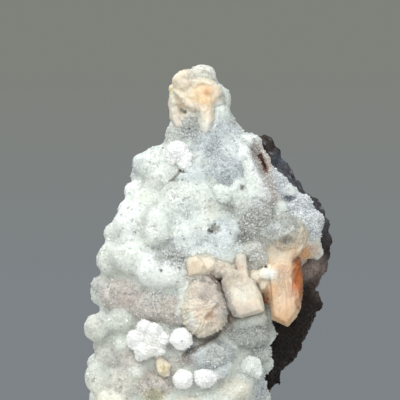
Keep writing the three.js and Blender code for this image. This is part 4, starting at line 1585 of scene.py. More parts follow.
    def small_crystals(self, rng: np.random.Generator) -> tuple[Skin, Array]:
        """Small blocky four-sided crystals that stand out of the crust.

        Args:
            rng: Where their places come from.

        Returns:
            The crystals and their colours.
        """
        free = np.where(self.bed_hidden, 0.0, 0.12 + 0.88 * self.coarse(self.bed.table))
        places, ways = self.bed.scattered(self.crystals, rng, free)
        count, at = len(places), places - GROWN_FROM
        widths = rng.uniform(*self.crystal_width, count)
        coarse = self.coarse(at)
        heights = widths * rng.uniform(*self.crystal_height, count) * (0.7 + 0.3 * coarse)
        skin = spikes(places, ways, widths, heights, rng, lean=0.25, shoulder=0.4)
        colours = painted(at, self.lobe_tints(at), self.patches)
        # painted shade darkens the crystals in the small holes
        for x, z, radius, dark in self.pits:
            share = 0.5 * dark * eased(1.2 - off(at, x, z) / radius)
            colours = tinted(colours, share, Tint.DIRT_AND_SHADE)
        speckle = speckle_of(coarse)
        light = 1 + (0.01 + 0.12 * speckle) * rng.normal(size=count)
        light += np.where(rng.random(count) < 0.3, 0.1, 0)
        # painted glints: a few crystals made much brighter where the druse is speckled
        light += np.where(rng.random(count) < 0.06, 0.5 * speckle, 0)
        rows = np.column_stack([colours * light[:, None], speckle])
        return skin, np.repeat(rows, len(skin.points) // count, axis=0)

    def clear_points(self, rng: np.random.Generator) -> tuple[Skin, Array]:
        """Clear glassy points where the druse is blue-grey or smoky.

        Args:
            rng: Where their places come from.

        Returns:
            The points and their colours.
        """
        glassy = np.zeros(len(self.bed.points))
        for patch in self.patches:
            if patch.tint in (Tint.BLUE_GREY, Tint.SMOKE_GREY, Tint.GLASS_GREY, Tint.WHITE_CRUST):
                glassy = np.maximum(glassy, patch.weight(self.bed.table))
        glassy = np.where(self.bed_hidden, 0, 0.004 + glassy)
        places, ways = self.bed.scattered(self.clear, rng, glassy)
        widths = rng.uniform(0.3, 0.7, len(places))
        heights = widths * rng.uniform(0.6, 1.1, len(places))
        skin = spikes(places, ways, widths, heights, rng, lean=0.3, shoulder=0.45)
        return skin, np.tile(Tint.COOL_WHITE.linear, (len(skin.points), 1))

    def build(self) -> None:
        """Shapes, colours and places the druse, its small crystals and its clear points."""
        self.shape()
        node = "apophyllite_druse"
        set_out("druse_crust", self.skin, self.tints(), DRUSE.material(), [node])
        skin, tints = self.small_crystals(np.random.default_rng(self.seed + 3))
        set_out("druse_small_crystals", skin, tints, CRYSTALS.material())
        skin, tints = self.clear_points(np.random.default_rng(self.seed + 2))
        set_out("druse_clear_points", skin, tints, CLEAR.material())


# ---- Puffballs and the spherule ------------------------------------------------------------


@dataclass
class Puffball:
    """A group of white balls with a skin of short needles."""

    node: str
    members: Rows  # across, up, radius
    ground: Tint = Tint.PURE_WHITE
    patches: Layers = ()
    voxel: float = 0.4
    core: float = 0.9  # share of a ball's radius that lies under its needles
    grit: float = 0.06
    turn: Triple = (0.3, 0.9, 0.5)
    needle: Pair = (0.05, 0.4)
    tufts: int = 300  # for each ball
    tuft_width: Pair = (0.3, 0.6)
    tuft_height: Pair = (0.8, 1.5)  # share of its width
    seed: int = 1

    def depth_of(self, x: float, z: float, radius: float) -> float:
        """Finds where a ball's middle lies in depth, from the CAD node's own surface.

        Args:
            x: How far across it is, in table millimetres.
            z: How far up it is.
            radius: Its radius.

        Returns:
            Its depth.
        """
        solid = Skin.of_node(self.node)
        front = ahead(tree_of(solid), x, z)
        if front is None:
            front = float(solid.points[:, 1].mean())
        return front + radius - GROWN_FROM[1]

    def build(self, material: bpy.types.Material) -> None:
        """Shapes, colours and places the group.

        Args:
            material: The finish that all the groups share.
        """
        rng = np.random.default_rng(self.seed)
        centres = np.array([(x, self.depth_of(x, z, r), z) for x, z, r in self.members])
        radii = np.array([radius for _, _, radius in self.members])
        core = balls(centres + GROWN_FROM, radii * self.core, 4)
        skin = core.fused(self.voxel, self.turn).relaxed(1)
        at = skin.table
        skin = skin.pushed(0.4 * wander(at, 1.7, self.seed) + 0.2 * wander(at, 0.8, 3))
        skin.points += rng.normal(scale=self.grit, size=skin.points.shape)
        places, ways = skin.scattered(self.tufts * len(radii), rng)
        widths = rng.uniform(*self.tuft_width, len(places))
        heights = widths * rng.uniform(*self.tuft_height, len(places))
        tufts = spikes(places, ways, widths, heights, rng, lean=0.4)
        low, high = self.needle
        needles = low + (high - low) * rng.random(len(skin.quads)) ** 1.5
        skin = Skin.together([skin.all_crystalline(needles), tufts])
        tints = painted(skin.table, self.ground, self.patches)
        tints = tints * (1 + 0.03 * wander(skin.table, 0.5, 12))[:, None]
        skin.points = drawn_in(skin.points, float(centres[:, 1].mean()))
        set_out(self.node + "_needles", skin, tints, material, [self.node])


@dataclass
class Spherule:
    """The small cream ball with a pit in its face."""

    x: float = -10.5
    z: float = 17.9
    radius: float = 2.0
    pit: float = 0.8
    lumps: Rows = (
        (0, 0, 0, 1.7), (-0.5, 0.2, 1.2, 1.2), (-0.9, 0.5, 2.2, 0.9), (0.5, 0.3, -0.9, 1.2),
        (0.9, 0.4, 0.5, 1.1),
    )  # across, behind and up from its middle, and radius
    voxel: float = 0.3
    turn: Triple = (0.2, 0.5, 0.1)
    point_height: Pair = (0.04, 0.2)
    seed: int = 8

    def build(self) -> None:
        """Shapes, colours and places the ball."""
        node = "cream_spherule"
        low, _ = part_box(node)
        y = low.y / MM - GROWN_FROM[1] + self.radius
        places = np.array([(self.x + x, y + deep, self.z + z) for x, deep, z, _ in self.lumps])
        core = balls(places + GROWN_FROM, np.array([radius for *_, radius in self.lumps]), 4)
        skin = core.fused(self.voxel, self.turn)
        at = skin.table
        gap = off(at, self.x + 0.1, self.z) / self.pit + 0.4 * wander(at, 0.8, 6)
        inner = np.where(at[:, 1] < y, eased(1.3 - gap), 0)
        skin = skin.pushed(0.3 * wander(at, 1.3, 4) + 0.15 * wander(at, 0.6, 5) - 0.5 * inner)
        rng = np.random.default_rng(self.seed)
        skin = skin.all_crystalline(rng.uniform(*self.point_height, len(skin.quads)))
        patches = laid(
            (self.x + 0.2, self.z, 1.5, Tint.STRAW, 0.4),
            (self.x + 0.1, self.z - 0.1, 0.4, Tint.OLIVE_CREAM, 0.9, 0.3),
            (self.x + 0.6, self.z + 0.2, 0.3, Tint.DIRT_AND_SHADE, 0.5, 0.25),
        )
        tints = painted(skin.table, Tint.CREAM, patches)
        skin.points = drawn_in(skin.points, y)
        set_out("spherule", skin, tints, DULL_CREAM.material(), [node])


# ---- Stilbite ------------------------------------------------------------------------------


@dataclass
class Stilbite:
    """A stilbite crystal group: flat-faced bodies fused, then lined along their growth."""

    node: str
    slot: str
    finish: PearlFinish
    ground: Tint
    patches: Layers = ()
    voxel: float = 0.2
    softness: int = 1
    grit: float = 0.025  # how rough the surface is, mm
    turn: Triple = (0.35, 0.2, 0.15)
    sugar: int = 3000  # small crystals on it
    sugar_bare: float = 0.03  # how likely they are outside their patches
    sugar_width: Pair = (0.16, 0.42)
    sugar_height: Pair = (0.35, 0.9)  # share of its width
    sugar_patches: Layers = ()
    sugar_spread: float = 0.14  # how much its crystals differ in brightness
    depth: float = -21.0  # how deep its front lies, in the frame's millimetres
    seed: int = 3

    def bodies(self) -> list[Skin]:
        """The bodies that the group is fused from."""
        raise NotImplementedError

    def lines(self, at: Array) -> Array:
        """How far the growth lines move each point outward."""
        return 0.05 * wander(at * (3.2, 1, 0.5), 1.0, self.seed)

    def shade(self, at: Array, colours: Array) -> Array:
        """The colours after the group's own streaks."""
        streak = 1 + 0.05 * wander(at * (2.6, 1, 0.4), 1.0, self.seed + 40)
        return colours * streak[:, None]

    def tints(self, at: Array) -> Array:
        """The colours at some points."""
        return self.shade(at, painted(strayed(at, 0.3, 1.2, 50), self.ground, self.patches))

    def build(self) -> None:
        """Shapes, colours and places the group and the sugar on it."""
        skin = Skin.together(self.bodies()).fused(self.voxel, self.turn).relaxed(self.softness)
        skin = skin.pushed(self.lines(skin.table))
        rng = np.random.default_rng(self.seed)
        skin = skin.pushed(self.grit * rng.normal(size=len(skin.points)))
        tints, finish = self.tints(skin.table), self.finish.material()
        settled = Skin(drawn_in(skin.points, self.depth), skin.quads, skin.tris)
        name = self.node + "_crystal"
        set_out(name, settled, tints, finish, [self.node], smooth=True)
        self.coat(skin, rng)

    def coat(self, skin: Skin, rng: np.random.Generator) -> None:
        """Sprinkles small crystals over the sugared parts.

        Args:
            skin: The group's surface.
            rng: Where their places come from.
        """
        likely = np.full(len(skin.points), self.sugar_bare)
        for patch in self.sugar_patches:
            likely = np.maximum(likely, patch.weight(skin.table))
        likely *= skin.normals()[:, 1] < 0.3
        places, ways = skin.scattered(self.sugar, rng, likely)
        widths = rng.uniform(*self.sugar_width, len(places))
        heights = widths * rng.uniform(*self.sugar_height, len(places))
        grains = spikes(places, ways, widths, heights, rng, lean=0.5)
        base = painted(places - GROWN_FROM, self.ground, self.patches + self.sugar_patches)
        base = base * (1 + self.sugar_spread * rng.normal(size=len(places)))[:, None]
        tints = np.repeat(base, len(grains.points) // len(places), axis=0)
        grains.points = drawn_in(grains.points, self.depth)
        set_out(self.node + "_sugar", grains, tints, SUGAR.material())


@dataclass
class CentreBlade(Stilbite):
    """The flat cream blade with the small upright one behind it."""

    face: Rows = (
        (4.4, 39.7), (5.1, 41.6), (7.2, 42.6), (9.2, 41.6), (10.9, 40.3), (12, 39.8), (13, 37.5),
        (13.9, 36.2), (14.4, 33.9), (14.7, 32.2), (11.9, 31.4), (8.7, 30.6), (7.4, 31.2),
        (6.2, 33), (5.2, 35.8), (4.5, 38),
    )
    sprout: Rows = (
        (7.8, 46.2), (8.9, 46.9), (10.1, 46.2), (10.5, 43.6), (10.9, 40.4), (9.6, 40),
        (8.8, 42.1), (7.7, 43.8),
    )
    front: float = -24.6
    foot: Pair = (10.1, 40.4)
    node: str = "stilbite_centre_blade"
    slot: str = "stilbite_peach"
    finish: PearlFinish = PEACH_PEARL
    ground: Tint = Tint.CREAM
    softness: int = 2
    grit: float = 0.045
    sugar_spread: float = 0.12
    seed: int = 63
    patches: Layers = laid(
        (9.4, 36.8, 4, Tint.PALE_CREAM, 0.9), (12.8, 33.6, 2, Tint.BLUSH, 0.6),
        (9.2, 37.2, 4, Tint.WARM_WHITE, 0.45, 3), (9.2, 32.8, 4, Tint.BLUSH, 0.7, 2.2),
        (9.2, 32.6, 3.4, Tint.TAN_DUST, 0.35, 1.8), (10.4, 31.6, 4.4, Tint.MAUVE_COAT, 0.8, 1.2),
        (5.3, 34.6, 1, Tint.MAUVE_COAT, 0.9, 3), (6.6, 31.6, 1.2, Tint.TAN_DUST, 0.9, 1),
        (9.2, 44.6, 2.4, Tint.MAUVE_COAT, 0.7, 3.4), (8.8, 46.4, 1.8, Tint.GREIGE, 0.6, 1.6),
        # painted shade on the left edge, by the groove beside the round sheaf
        (4.6, 38.6, 0.7, Tint.GROOVE, 0.5, 1.2),
    )
    sugar_patches: Layers = laid(
        (((7.4, 31.2), (5.2, 35.8), (4.4, 39.7), (5.1, 41.6)), 1.1, Tint.MAUVE_SUGAR, 0.8),
        (5.6, 35, 1.5, Tint.MAUVE_SUGAR, 0.8, 3.8), (6.8, 31.8, 1.6, Tint.MAUVE_DEEP, 0.7, 1.2),
        (6.8, 40.6, 3, Tint.BLUSH, 0.6, 2.2), (9.6, 39, 3.4, Tint.PALE_CREAM, 0.2, 2),
    )

    def bodies(self) -> list[Skin]:
        """A stack of thin plates, a facet at the top left and the upright blade."""
        middle = np.array(self.face).mean(axis=0)
        plates = []
        for i, (grow, shift) in enumerate(((0.93, 0.1), (1.0, 0), (0.97, -0.12), (1.01, 0.05))):
            ring = middle + (np.array(self.face) - middle) * grow + (0.06 * i, shift)
            front = self.front + 0.05 + 0.85 * i
            plates.append(slab(ring, front, front + 2.2, 0.22, 0.28, (0.02, -0.05)))
        facet = [(4.6, 40.6), (6.4, 42.3), (8.6, 42), (11.4, 40), (9.4, 37.6), (5.6, 37.6)]
        plates.append(slab(facet, self.front - 0.1, -20, 1.3, 1.6, (0.02, 0.3)))
        rim = [(5.0, 37), (6.3, 38), (8.4, 33), (9, 30.8), (7.3, 31), (5.9, 33)]
        plates.append(slab(rim, self.front + 0.35, -20.4, 0.8, 0.7, (-0.25, 0)))
        plates.append(egg((5.9, -21.9, 41.2), (2.0, 2.0, 1.5), 0.5))
        plates.append(slab(self.sprout, -22.6, -19, 1.2, 1.0, (0.2, 0.05)))
        side = [(9.2, 46.4), (10.1, 46.1), (10.8, 40.6), (9.8, 40.2)]
        plates.append(slab(side, -22.7, -19, 0.6, 0.25, (0.1, 0.04)))
        return plates

    def spokes(self, at: Array) -> Array:
        """Noise coordinates that fan out from the upright blade's foot.

        Args:
            at: Points in table millimetres.

        Returns:
            One row for each point.
        """
        x, z = at[:, 0] - self.foot[0], at[:, 2] - self.foot[1]
        angle, far = np.arctan2(x, 3 - z), np.hypot(x, z)
        return np.stack([angle * 7, at[:, 1], far * 0.22], axis=1)

    def lines(self, at: Array) -> Array:
        """Ridges that fan out over the blade from the upright one's foot.

        Args:
            at: Points in table millimetres.

        Returns:
            One distance for each point.
        """
        fan = 0.1 * wander(self.spokes(at), 0.9, self.seed)
        fan += 0.06 * wander(self.spokes(at) * (2.3, 1, 1), 1.0, self.seed + 1)
        rough = eased((8.4 - at[:, 0]) / 3) * eased((at[:, 2] - 31) / 4)
        lumps = (0.07 + 0.16 * rough) * wander(at, 1.4, 9)
        return fan + lumps + 0.09 * rough * wander(at, 0.6, 8)

    def shade(self, at: Array, colours: Array) -> Array:
        """Streaks that fan out with the ridges."""
        streak = 1 + 0.05 * wander(self.spokes(at) * (2.0, 1, 1), 1.0, self.seed + 40)
        return colours * streak[:, None]


@dataclass
class UpperBlade(Stilbite):
    """The low cream blade above the round sheaf."""

    node: str = "stilbite_upper_blade"
    slot: str = "stilbite_cream"
    finish: PearlFinish = CREAM_PEARL
    ground: Tint = Tint.CREAM
    softness: int = 2
    grit: float = 0.06
    sugar_spread: float = 0.07
    seed: int = 61
    patches: Layers = laid(
        (-3, 43.6, 1.6, Tint.PEACH, 0.4), (0.4, 44.8, 1.8, Tint.PALE_CREAM, 0.7),
        (4.6, 42.4, 4, Tint.BLUSH, 0.8, 3), (3.4, 41.4, 2.2, Tint.MAUVE_COAT, 0.5, 1.8),
        (-4, 40.8, 1.4, Tint.ORANGE_PEACH, 0.3, 1.8),
    )
    sugar_patches: Layers = laid(
        (((-5.4, 44.6), (-5, 40.6), (-2, 40.2), (0.4, 41)), 1, Tint.CREAM_DRUSE, 0.8),
        (((-1.6, 46.2), (1.6, 46.4), (4, 44.6), (7, 43.8)), 0.9, Tint.CREAM_DRUSE, 0.8),
        (-3.4, 40.9, 1.8, Tint.CREAM_DRUSE, 0.6, 0.8), (4.6, 42.6, 3.6, Tint.BLUSH, 0.8, 2.2),
        (3, 41.2, 1.6, Tint.MAUVE_SUGAR, 0.5, 1),
    )

    def bodies(self) -> list[Skin]:
        """A flat-faced block on the left that runs into rough lumps on the right."""
        block = [(-5.3, 44.6), (-4, 45.6), (-1.8, 46.1), (0.4, 44.4), (0, 41.4)]
        block += [(-2.6, 40.3), (-4.5, 40.3)]
        top = [(-1.8, 45.9), (0.2, 46.4), (2.2, 45.8), (3.2, 44), (2.4, 41.4), (0.2, 41.4)]
        return [
            slab(block, -22.3, -18.2, 1.1, 1.2, (-0.08, 0.06)),
            slab(top, -22.4, -18.2, 1.3, 1.2, (0.05, 0.1)),
            egg((1.8, -19.9, 43), (2.3, 2.4, 2.2)),
            egg((3.5, -19.7, 42.4), (2.0, 2.5, 2.4)),
            egg((5.3, -19.4, 42.6), (1.9, 2.3, 1.7), 0.3),
            egg((7.0, -19.0, 42.8), (1.5, 2.2, 1.1)),
        ]

    def lines(self, at: Array) -> Array:
        """Lumps that grow rougher to the right, and faint lines on the block.

        Args:
            at: Points in table millimetres.

        Returns:
            One distance for each point.
        """
        right = eased((at[:, 0] + 0.5) / 3)
        lumps = (0.14 + 0.16 * right) * wander(at, 1.7, self.seed)
        lumps += 0.12 * right * wander(at, 0.7, 7)
        return lumps + 0.06 * (1 - right) * wander(at * (2.6, 1, 0.5), 0.9, 6)


@dataclass
class RoundSheaf(Stilbite):
    """The domed sheaf seen from its end, with a hollow and a scalloped rim."""

    outline: Rows = (
        (-2.6, 40.2), (-0.1, 40.9), (1, 40.8), (2, 39.7), (3.4, 37.9), (4.9, 35.7), (5.7, 33.8),
        (5.9, 31.5), (5.2, 29.7), (3.4, 27.8), (0.9, 26.4), (-0.6, 25.6), (-2.1, 26),
        (-4.1, 27.6), (-5.5, 29.5), (-6.1, 31.8), (-5.6, 33.7), (-4.3, 35.5), (-4, 38.2),
    )
    front: float = -21.0  # only what lies in front of this is creased
    eye: Pair = (1.4, 33.4)  # where the sheaf's blades spread from
    crease: Rows = ((3.3, 33.6), (1.9, 32.4), (0.3, 30.4))
    node: str = "stilbite_rosette"
    slot: str = "stilbite_peach"
    finish: PearlFinish = PEACH_PEARL
    ground: Tint = Tint.BLUSH
    softness: int = 2
    grit: float = 0.08
    sugar: int = 6000
    sugar_spread: float = 0.15
    seed: int = 62
    patches: Layers = laid(
        (-4.6, 33, 2.8, Tint.PALE_CREAM, 1, 8), (-3.6, 29.4, 2.6, Tint.WARM_WHITE, 0.8, 3),
        (1.2, 27.4, 4.4, Tint.PALE_CREAM, 0.8, 2.2), (0, 31.4, 3, Tint.PEACH, 0.35),
        (1.4, 30.6, 1.6, Tint.PEACH, 0.7), (-0.4, 38, 4.2, Tint.MAUVE_COAT, 0.5, 2.6),
        (-2.6, 38.4, 1.6, Tint.PALE_CREAM, 0.5, 2.4),
        (-0.4, 36.2, 1.5, Tint.MAUVE_DEEP, 0.5, 1.3), (3.8, 34, 1.3, Tint.MAUVE_COAT, 0.7, 3.4),
        # (3.6, 38.2) and (5.3, 35.4): painted shade on the right edge, by the groove beside the
        # centre blade
        (5, 31.6, 1, Tint.TAN_DUST, 0.8, 2.4), (3.6, 38.2, 1, Tint.GROOVE, 0.8, 1.4),
        (5.3, 35.4, 0.8, Tint.GROOVE, 0.8, 2), (-0.4, 40, 1.2, Tint.DIRT_AND_SHADE, 0.8, 0.9),
        (1.2, 39.3, 0.8, Tint.DIRT_AND_SHADE, 0.7, 0.8),
    )
    sugar_patches: Layers = laid(
        (outline[:9], 1.1, Tint.GREIGE, 0.6), (outline[9:], 1.3, Tint.PALE_CREAM, 0.7),
        (0.6, 37, 4.8, Tint.MAUVE_COAT, 0.6, 4), (3.4, 29.4, 3.6, Tint.BLUSH, 0.4, 2.4),
        (4, 33.8, 1.6, Tint.MAUVE_COAT, 0.5, 3.6), (-4.6, 33, 1.2, Tint.PALE_CREAM, 0.4, 4.4),
    )

    def bodies(self) -> list[Skin]:
        """A dome on the outline, built in rising rings."""
        flat = np.array(self.outline)
        middle = flat.mean(axis=0) + (-0.3, 0.6)
        rings = ((1.0, -19.4), (1.0, -21.8), (0.9, -23.9), (0.7, -25.3), (0.42, -26.1))
        points = []
        for grow, depth in rings:
            ring = middle + (flat - middle) * grow
            points += [(x, depth, z) for x, z in ring]
        low_rim = [(-1.8, 25.8), (1, 26.2), (3.8, 27.8), (5.6, 30.0), (4, 32), (0, 29.4)]
        return [hull(points), slab(low_rim, -24.6, -20, 1.2, 1.2)]

    def spokes(self, at: Array, spin: float) -> tuple[Array, Array, Array]:
        """Finds noise coordinates that spread from the eye.

        Args:
            at: Points in table millimetres.
            spin: How fast the noise changes outwards.

        Returns:
            The coordinates, each point's angle round the eye and its distance from it.
        """
        x, z = at[:, 0] - self.eye[0], at[:, 2] - self.eye[1]
        angle, far = np.arctan2(z, x), np.hypot(x, z)
        ways = np.stack([np.cos(angle) * 4.2, np.sin(angle) * 4.2, far * spin], axis=1)
        return ways, angle, far

    def lines(self, at: Array) -> Array:
        """Blade edges round the rim, the crease and its hollow.

        Args:
            at: Points in table millimetres.

        Returns:
            One distance for each point.
        """
        ways, angle, far = self.spokes(at, 0.1)
        rim = eased((far - 2.2) / 2.4) * eased((2.2 - angle) / 2.4)
        scallop = (np.abs(wander(ways, 0.42, 21)) - 0.3) * rim * 0.75
        front = at[:, 1] < self.front
        fold = np.where(front, -0.5 * eased(1 - gap_to(at, self.crease) / 1.0), 0)
        below = np.hypot((at[:, 0] - 1.7) / 1.5, (at[:, 2] - 30.9) / 1.3)
        hollow = np.where(front, -0.5 * eased(1.2 - below), 0)
        lumps = 0.26 * wander(at, 1.5, 22) + 0.15 * wander(at, 0.6, 23)
        return scallop + fold + hollow + lumps

    def shade(self, at: Array, colours: Array) -> Array:
        """Streaks that spread from the eye, and a shaded crease.

        Args:
            at: Points in table millimetres.
            colours: The colours there.

        Returns:
            The new colours.
        """
        streak = 1 + 0.06 * wander(self.spokes(at, 0.2)[0], 0.5, 24)
        fold = 0.4 * eased(1.1 - gap_to(at, self.crease) / 0.8) * (at[:, 1] < self.front)
        return tinted(colours * streak[:, None], fold, Tint.ORANGE_BROWN)


@dataclass
class BowTie(Stilbite):
    """The fan with its waist, the blunt point below it and the dark blade beside it."""

    waist: Triple = (18.2, -16.6, 42.2)
    blades: int = 13
    spread: float = 0.62
    length: float = 11.2
    point: Rows = (
        (15.9, 38.4), (16.2, 35), (16.4, 32.4), (16.7, 30.2), (20.7, 28.3), (22.6, 30.4),
        (23.8, 32.7), (23.5, 35.4), (22.9, 37.6), (21.9, 40), (18.4, 40.4),
    )
    big_face: Rows = (
        (16.5, 41.6), (16.6, 33), (17, 30.6), (20.6, 28.8), (23.3, 32.4), (22.4, 36),
        (20.6, 42),
    )
    band: Rows = (
        (13.8, 51.7), (15.6, 50.8), (17.9, 50.5), (20, 51.3), (22, 52.9),
    )
    node: str = "stilbite_bow_tie"
    slot: str = "stilbite_orange"
    finish: PearlFinish = ORANGE_PEARL
    ground: Tint = Tint.PEACH
    voxel: float = 0.22
    softness: int = 3
    grit: float = 0.04
    sugar: int = 4200
    sugar_spread: float = 0.22
    depth: float = -17.5
    seed: int = 64
    patches: Layers = laid(
        (18, 56.5, 14, Tint.GLASS_GREY, 1, 8.4), (14, 50, 4.2, Tint.GLASS_GREY, 0.9, 4),
        # (20.4, 49.6): painted shade in the hollow under the raised band
        (17.2, 53, 3.6, Tint.COOL_WHITE, 0.6, 2.4), (20.4, 49.6, 2.2, Tint.SMOKY, 0.6, 1.4),
        (24.2, 49, 2.2, Tint.CREAM, 0.6, 3.6), (18.4, 46.2, 4.4, Tint.CREAM, 0.85, 2.4),
        (17.6, 47.6, 3, Tint.TAN_DUST, 0.4, 1.8), (12.4, 40.6, 2.4, Tint.PALE_CREAM, 0.9, 2.4),
        # knob H (15.4, 41.3): its pale cream lifted to near white, a painted highlight
        (19, 41.8, 2.6, Tint.PINK_PEACH, 0.5, 2.2), (15.4, 41.3, 3.4, Tint.WARM_WHITE, 1, 2.8),
        (19.6, 34, 4, Tint.ORANGE_PEACH, 0.35, 5), (14.2, 38.6, 1.8, Tint.PALE_CREAM, 0.8),
        (19, 35.4, 2.6, Tint.BLUSH, 0.3, 3.4), (21.4, 37.8, 1.4, Tint.PINK_PEACH, 0.6, 2.6),
        (23.3, 34.4, 1.2, Tint.ORANGE_BROWN, 0.6, 2.8),
        (17, 37.6, 1.6, Tint.ORANGE_PEACH, 0.5, 2.6),
        (19.8, 29.8, 3.4, Tint.ORANGE_PEACH, 0.6, 2.2),
        # the dark blade: its own deep orange, darkened to brown towards its right edge with
        # painted shade
        (23.6, 43.8, 2.2, Tint.ORANGE_BROWN, 1, 3.6),
        (23.3, 40.4, 2, Tint.DEEP_ORANGE, 1, 5),
        (24.4, 43, 1.4, Tint.ORANGE_BROWN, 0.8, 3.2),
        (24.4, 37, 1.2, Tint.ORANGE_BROWN, 0.8, 3.4),
        (15.2, 35, 1.2, Tint.ORANGE_BROWN, 1, 2.8),
    )
    sugar_patches: Layers = laid(
        (20.4, 50.6, 4.6, Tint.GLASS_GREY, 0.5, 3.4), (18.6, 40.4, 3, Tint.BLUSH, 0.35, 2.6),
        (12.2, 40.6, 1.8, Tint.PALE_CREAM, 0.4, 1.8), (15.2, 52.4, 4.6, Tint.GLASS_GREY, 0.9, 5),
        (20.6, 55.4, 6, Tint.GLASS_GREY, 0.8, 3.4), (13, 48.4, 2.2, Tint.GLASS_GREY, 0.9, 3.6),
        (19, 53, 2.4, Tint.COOL_WHITE, 0.4, 1.6),
    )

    def fan(self) -> list[Skin]:
        """Wedges that spread from the waist to a rounded head."""
        wedges = []
        for i in range(self.blades):
            share = 2 * i / (self.blades - 1) - 1
            lean = share * self.spread + 0.06
            deep = 0.9 * math.sin(i * GOLDEN_ANGLE)
            tall = self.length * (1 - 0.16 * share * share) + 0.5 * math.sin(i * 2.7)
            spin = np.array(Euler((-0.05 - 0.06 * deep, lean, 0)).to_matrix())
            corners = []
            for side, depth in product((-1, 1), repeat=2):
                corners.append((side * 1.5, depth * 1.7 + 0.2 * deep, -1.2))
                corners.append((side * 1.35, depth * 2.4 + 0.6 * deep, tall * 0.72))
                corners.append((side * 0.8, depth * 1.6 + 0.5 * deep, tall))
            points = np.array(corners) @ spin.T + np.array(self.waist)
            wedges.append(hull(points.tolist()))
        return wedges

    def bodies(self) -> list[Skin]:
        """The fan, its two glassy domes, the waist, the point, the dark blade and splinters."""
        forms = self.fan()
        forms.append(egg((20, -16.4, 51.2), (5.9, 4.3, 5.3), 0.1))
        forms.append(egg((15.6, -16.2, 50.8), (3.6, 3.6, 4.8), -0.1))
        forms.append(egg((15.0, -19.3, 41.5), (2.0, 1.7, 1.6)))
        forms.append(egg((12.4, -18.4, 40.8), (2.2, 1.8, 1.8), 0.4))
        forms.append(egg((17.2, -18.6, 41.4), (2.2, 1.9, 2.0)))
        wing = [(12.7, 38.6), (13.8, 36.5), (15.4, 37.2), (17, 39.6), (16.4, 42.6), (13.0, 41.6)]
        forms.append(slab(wing, -19.4, -15.6, 1.4, 1.3, (-0.1, 0)))
        shoulder = [(15.4, 43.8), (16, 38.6), (21.9, 38.6), (23.6, 43.4), (21, 45.6), (17, 45.6)]
        forms.append(slab(shoulder, -20.1, -14.2, 1.8, 1.6, (0.04, 0.05)))
        forms.append(slab(self.point, -19.2, -14.2, 0.3, 0.3))
        forms.append(slab(self.big_face, -20.6, -15, 1.4, 0.7, (0.05, 0.1)))
        strip = [(21.5, 40), (23.2, 38.2), (24, 34.6), (23.9, 32.8), (22.4, 34), (21.4, 36.2)]
        forms.append(slab(strip, -20.1, -15, 0.5, 0.35, (0.12, 0.06)))
        vee = [(19.4, 40.4), (22, 40.4), (22, 37.4), (21.4, 35.6), (20.2, 37.6)]
        forms.append(slab(vee, -20.5, -15, 0.6, 0.5, (-0.1, 0.12)))
        edge = [(22.4, 45.8), (23.9, 45.6), (24.5, 40), (24.4, 35.4), (23.4, 33.6), (22.2, 38)]
        forms.append(slab(edge, -17.2, -11.4, 0.6, 0.5, (0.2, 0)))
        for i in range(5):
            left = 14.5 + 0.36 * i
            tip = 33.9 - 0.24 * i + 0.8 * (i % 2)
            thin = [(left, 38.8), (left + 0.5, 38.8), (left + 0.52, tip + 0.7), (left + 0.3, tip)]
            forms.append(slab(thin, -18.3 - 0.1 * (i % 2), -15.6, 0.2, 0.12))
        return forms

    def along(self, at: Array) -> Array:
        """Noise coordinates that are stretched along the crystal's growth.

        Args:
            at: Points in table millimetres.

        Returns:
            One row for each point.
        """
        x, z = at[:, 0] - self.waist[0], at[:, 2] - self.waist[2]
        fanned = x / np.maximum(z + 7, 1) * 9
        across = np.where(z > 0, fanned, x + 0.06 * z)
        return np.stack([across * 2.0, at[:, 1] * 0.8, z * 0.16], axis=1)

    def lines(self, at: Array) -> Array:
        """Growth lines, the raised band on the fan and the hollow under it.

        Args:
            at: Points in table millimetres.

        Returns:
            One distance for each point.
        """
        high = eased((at[:, 2] - 47) / 3)
        grow = (0.16 - 0.06 * high) * wander(self.along(at), 1.0, 25)
        grow += 0.08 * wander(self.along(at) * 2.1, 1.0, 26)
        grow *= np.where(at[:, 2] < 36, 0.6, 1.3)
        grow += 0.07 * wander(at, 0.9, 24)
        front = at[:, 1] < -16.5
        ridge = 0.3 * eased(1 - gap_to(at, self.band) / 0.9)
        below = np.hypot((at[:, 0] - 20.4) / 2.6, (at[:, 2] - 49.6) / 1.4)
        hollow = -0.5 * eased(1.25 - below)
        lumps = (0.42 * wander(at, 2.1, 27) + 0.2 * wander(at, 0.9, 29)) * high
        return grow + np.where(front, ridge + hollow, 0) + lumps

    def shade(self, at: Array, colours: Array) -> Array:
        """Streaks along the growth, the pale band and its shaded hollow.

        Args:
            at: Points in table millimetres.
            colours: The colours there.

        Returns:
            The new colours.
        """
        streak = 1 + 0.1 * wander(self.along(at), 1.0, 28)
        band = 0.7 * eased(1.1 - gap_to(at, self.band) / 0.7) * (at[:, 1] < -15)
        return tinted(colours * streak[:, None], band, Tint.COOL_WHITE)


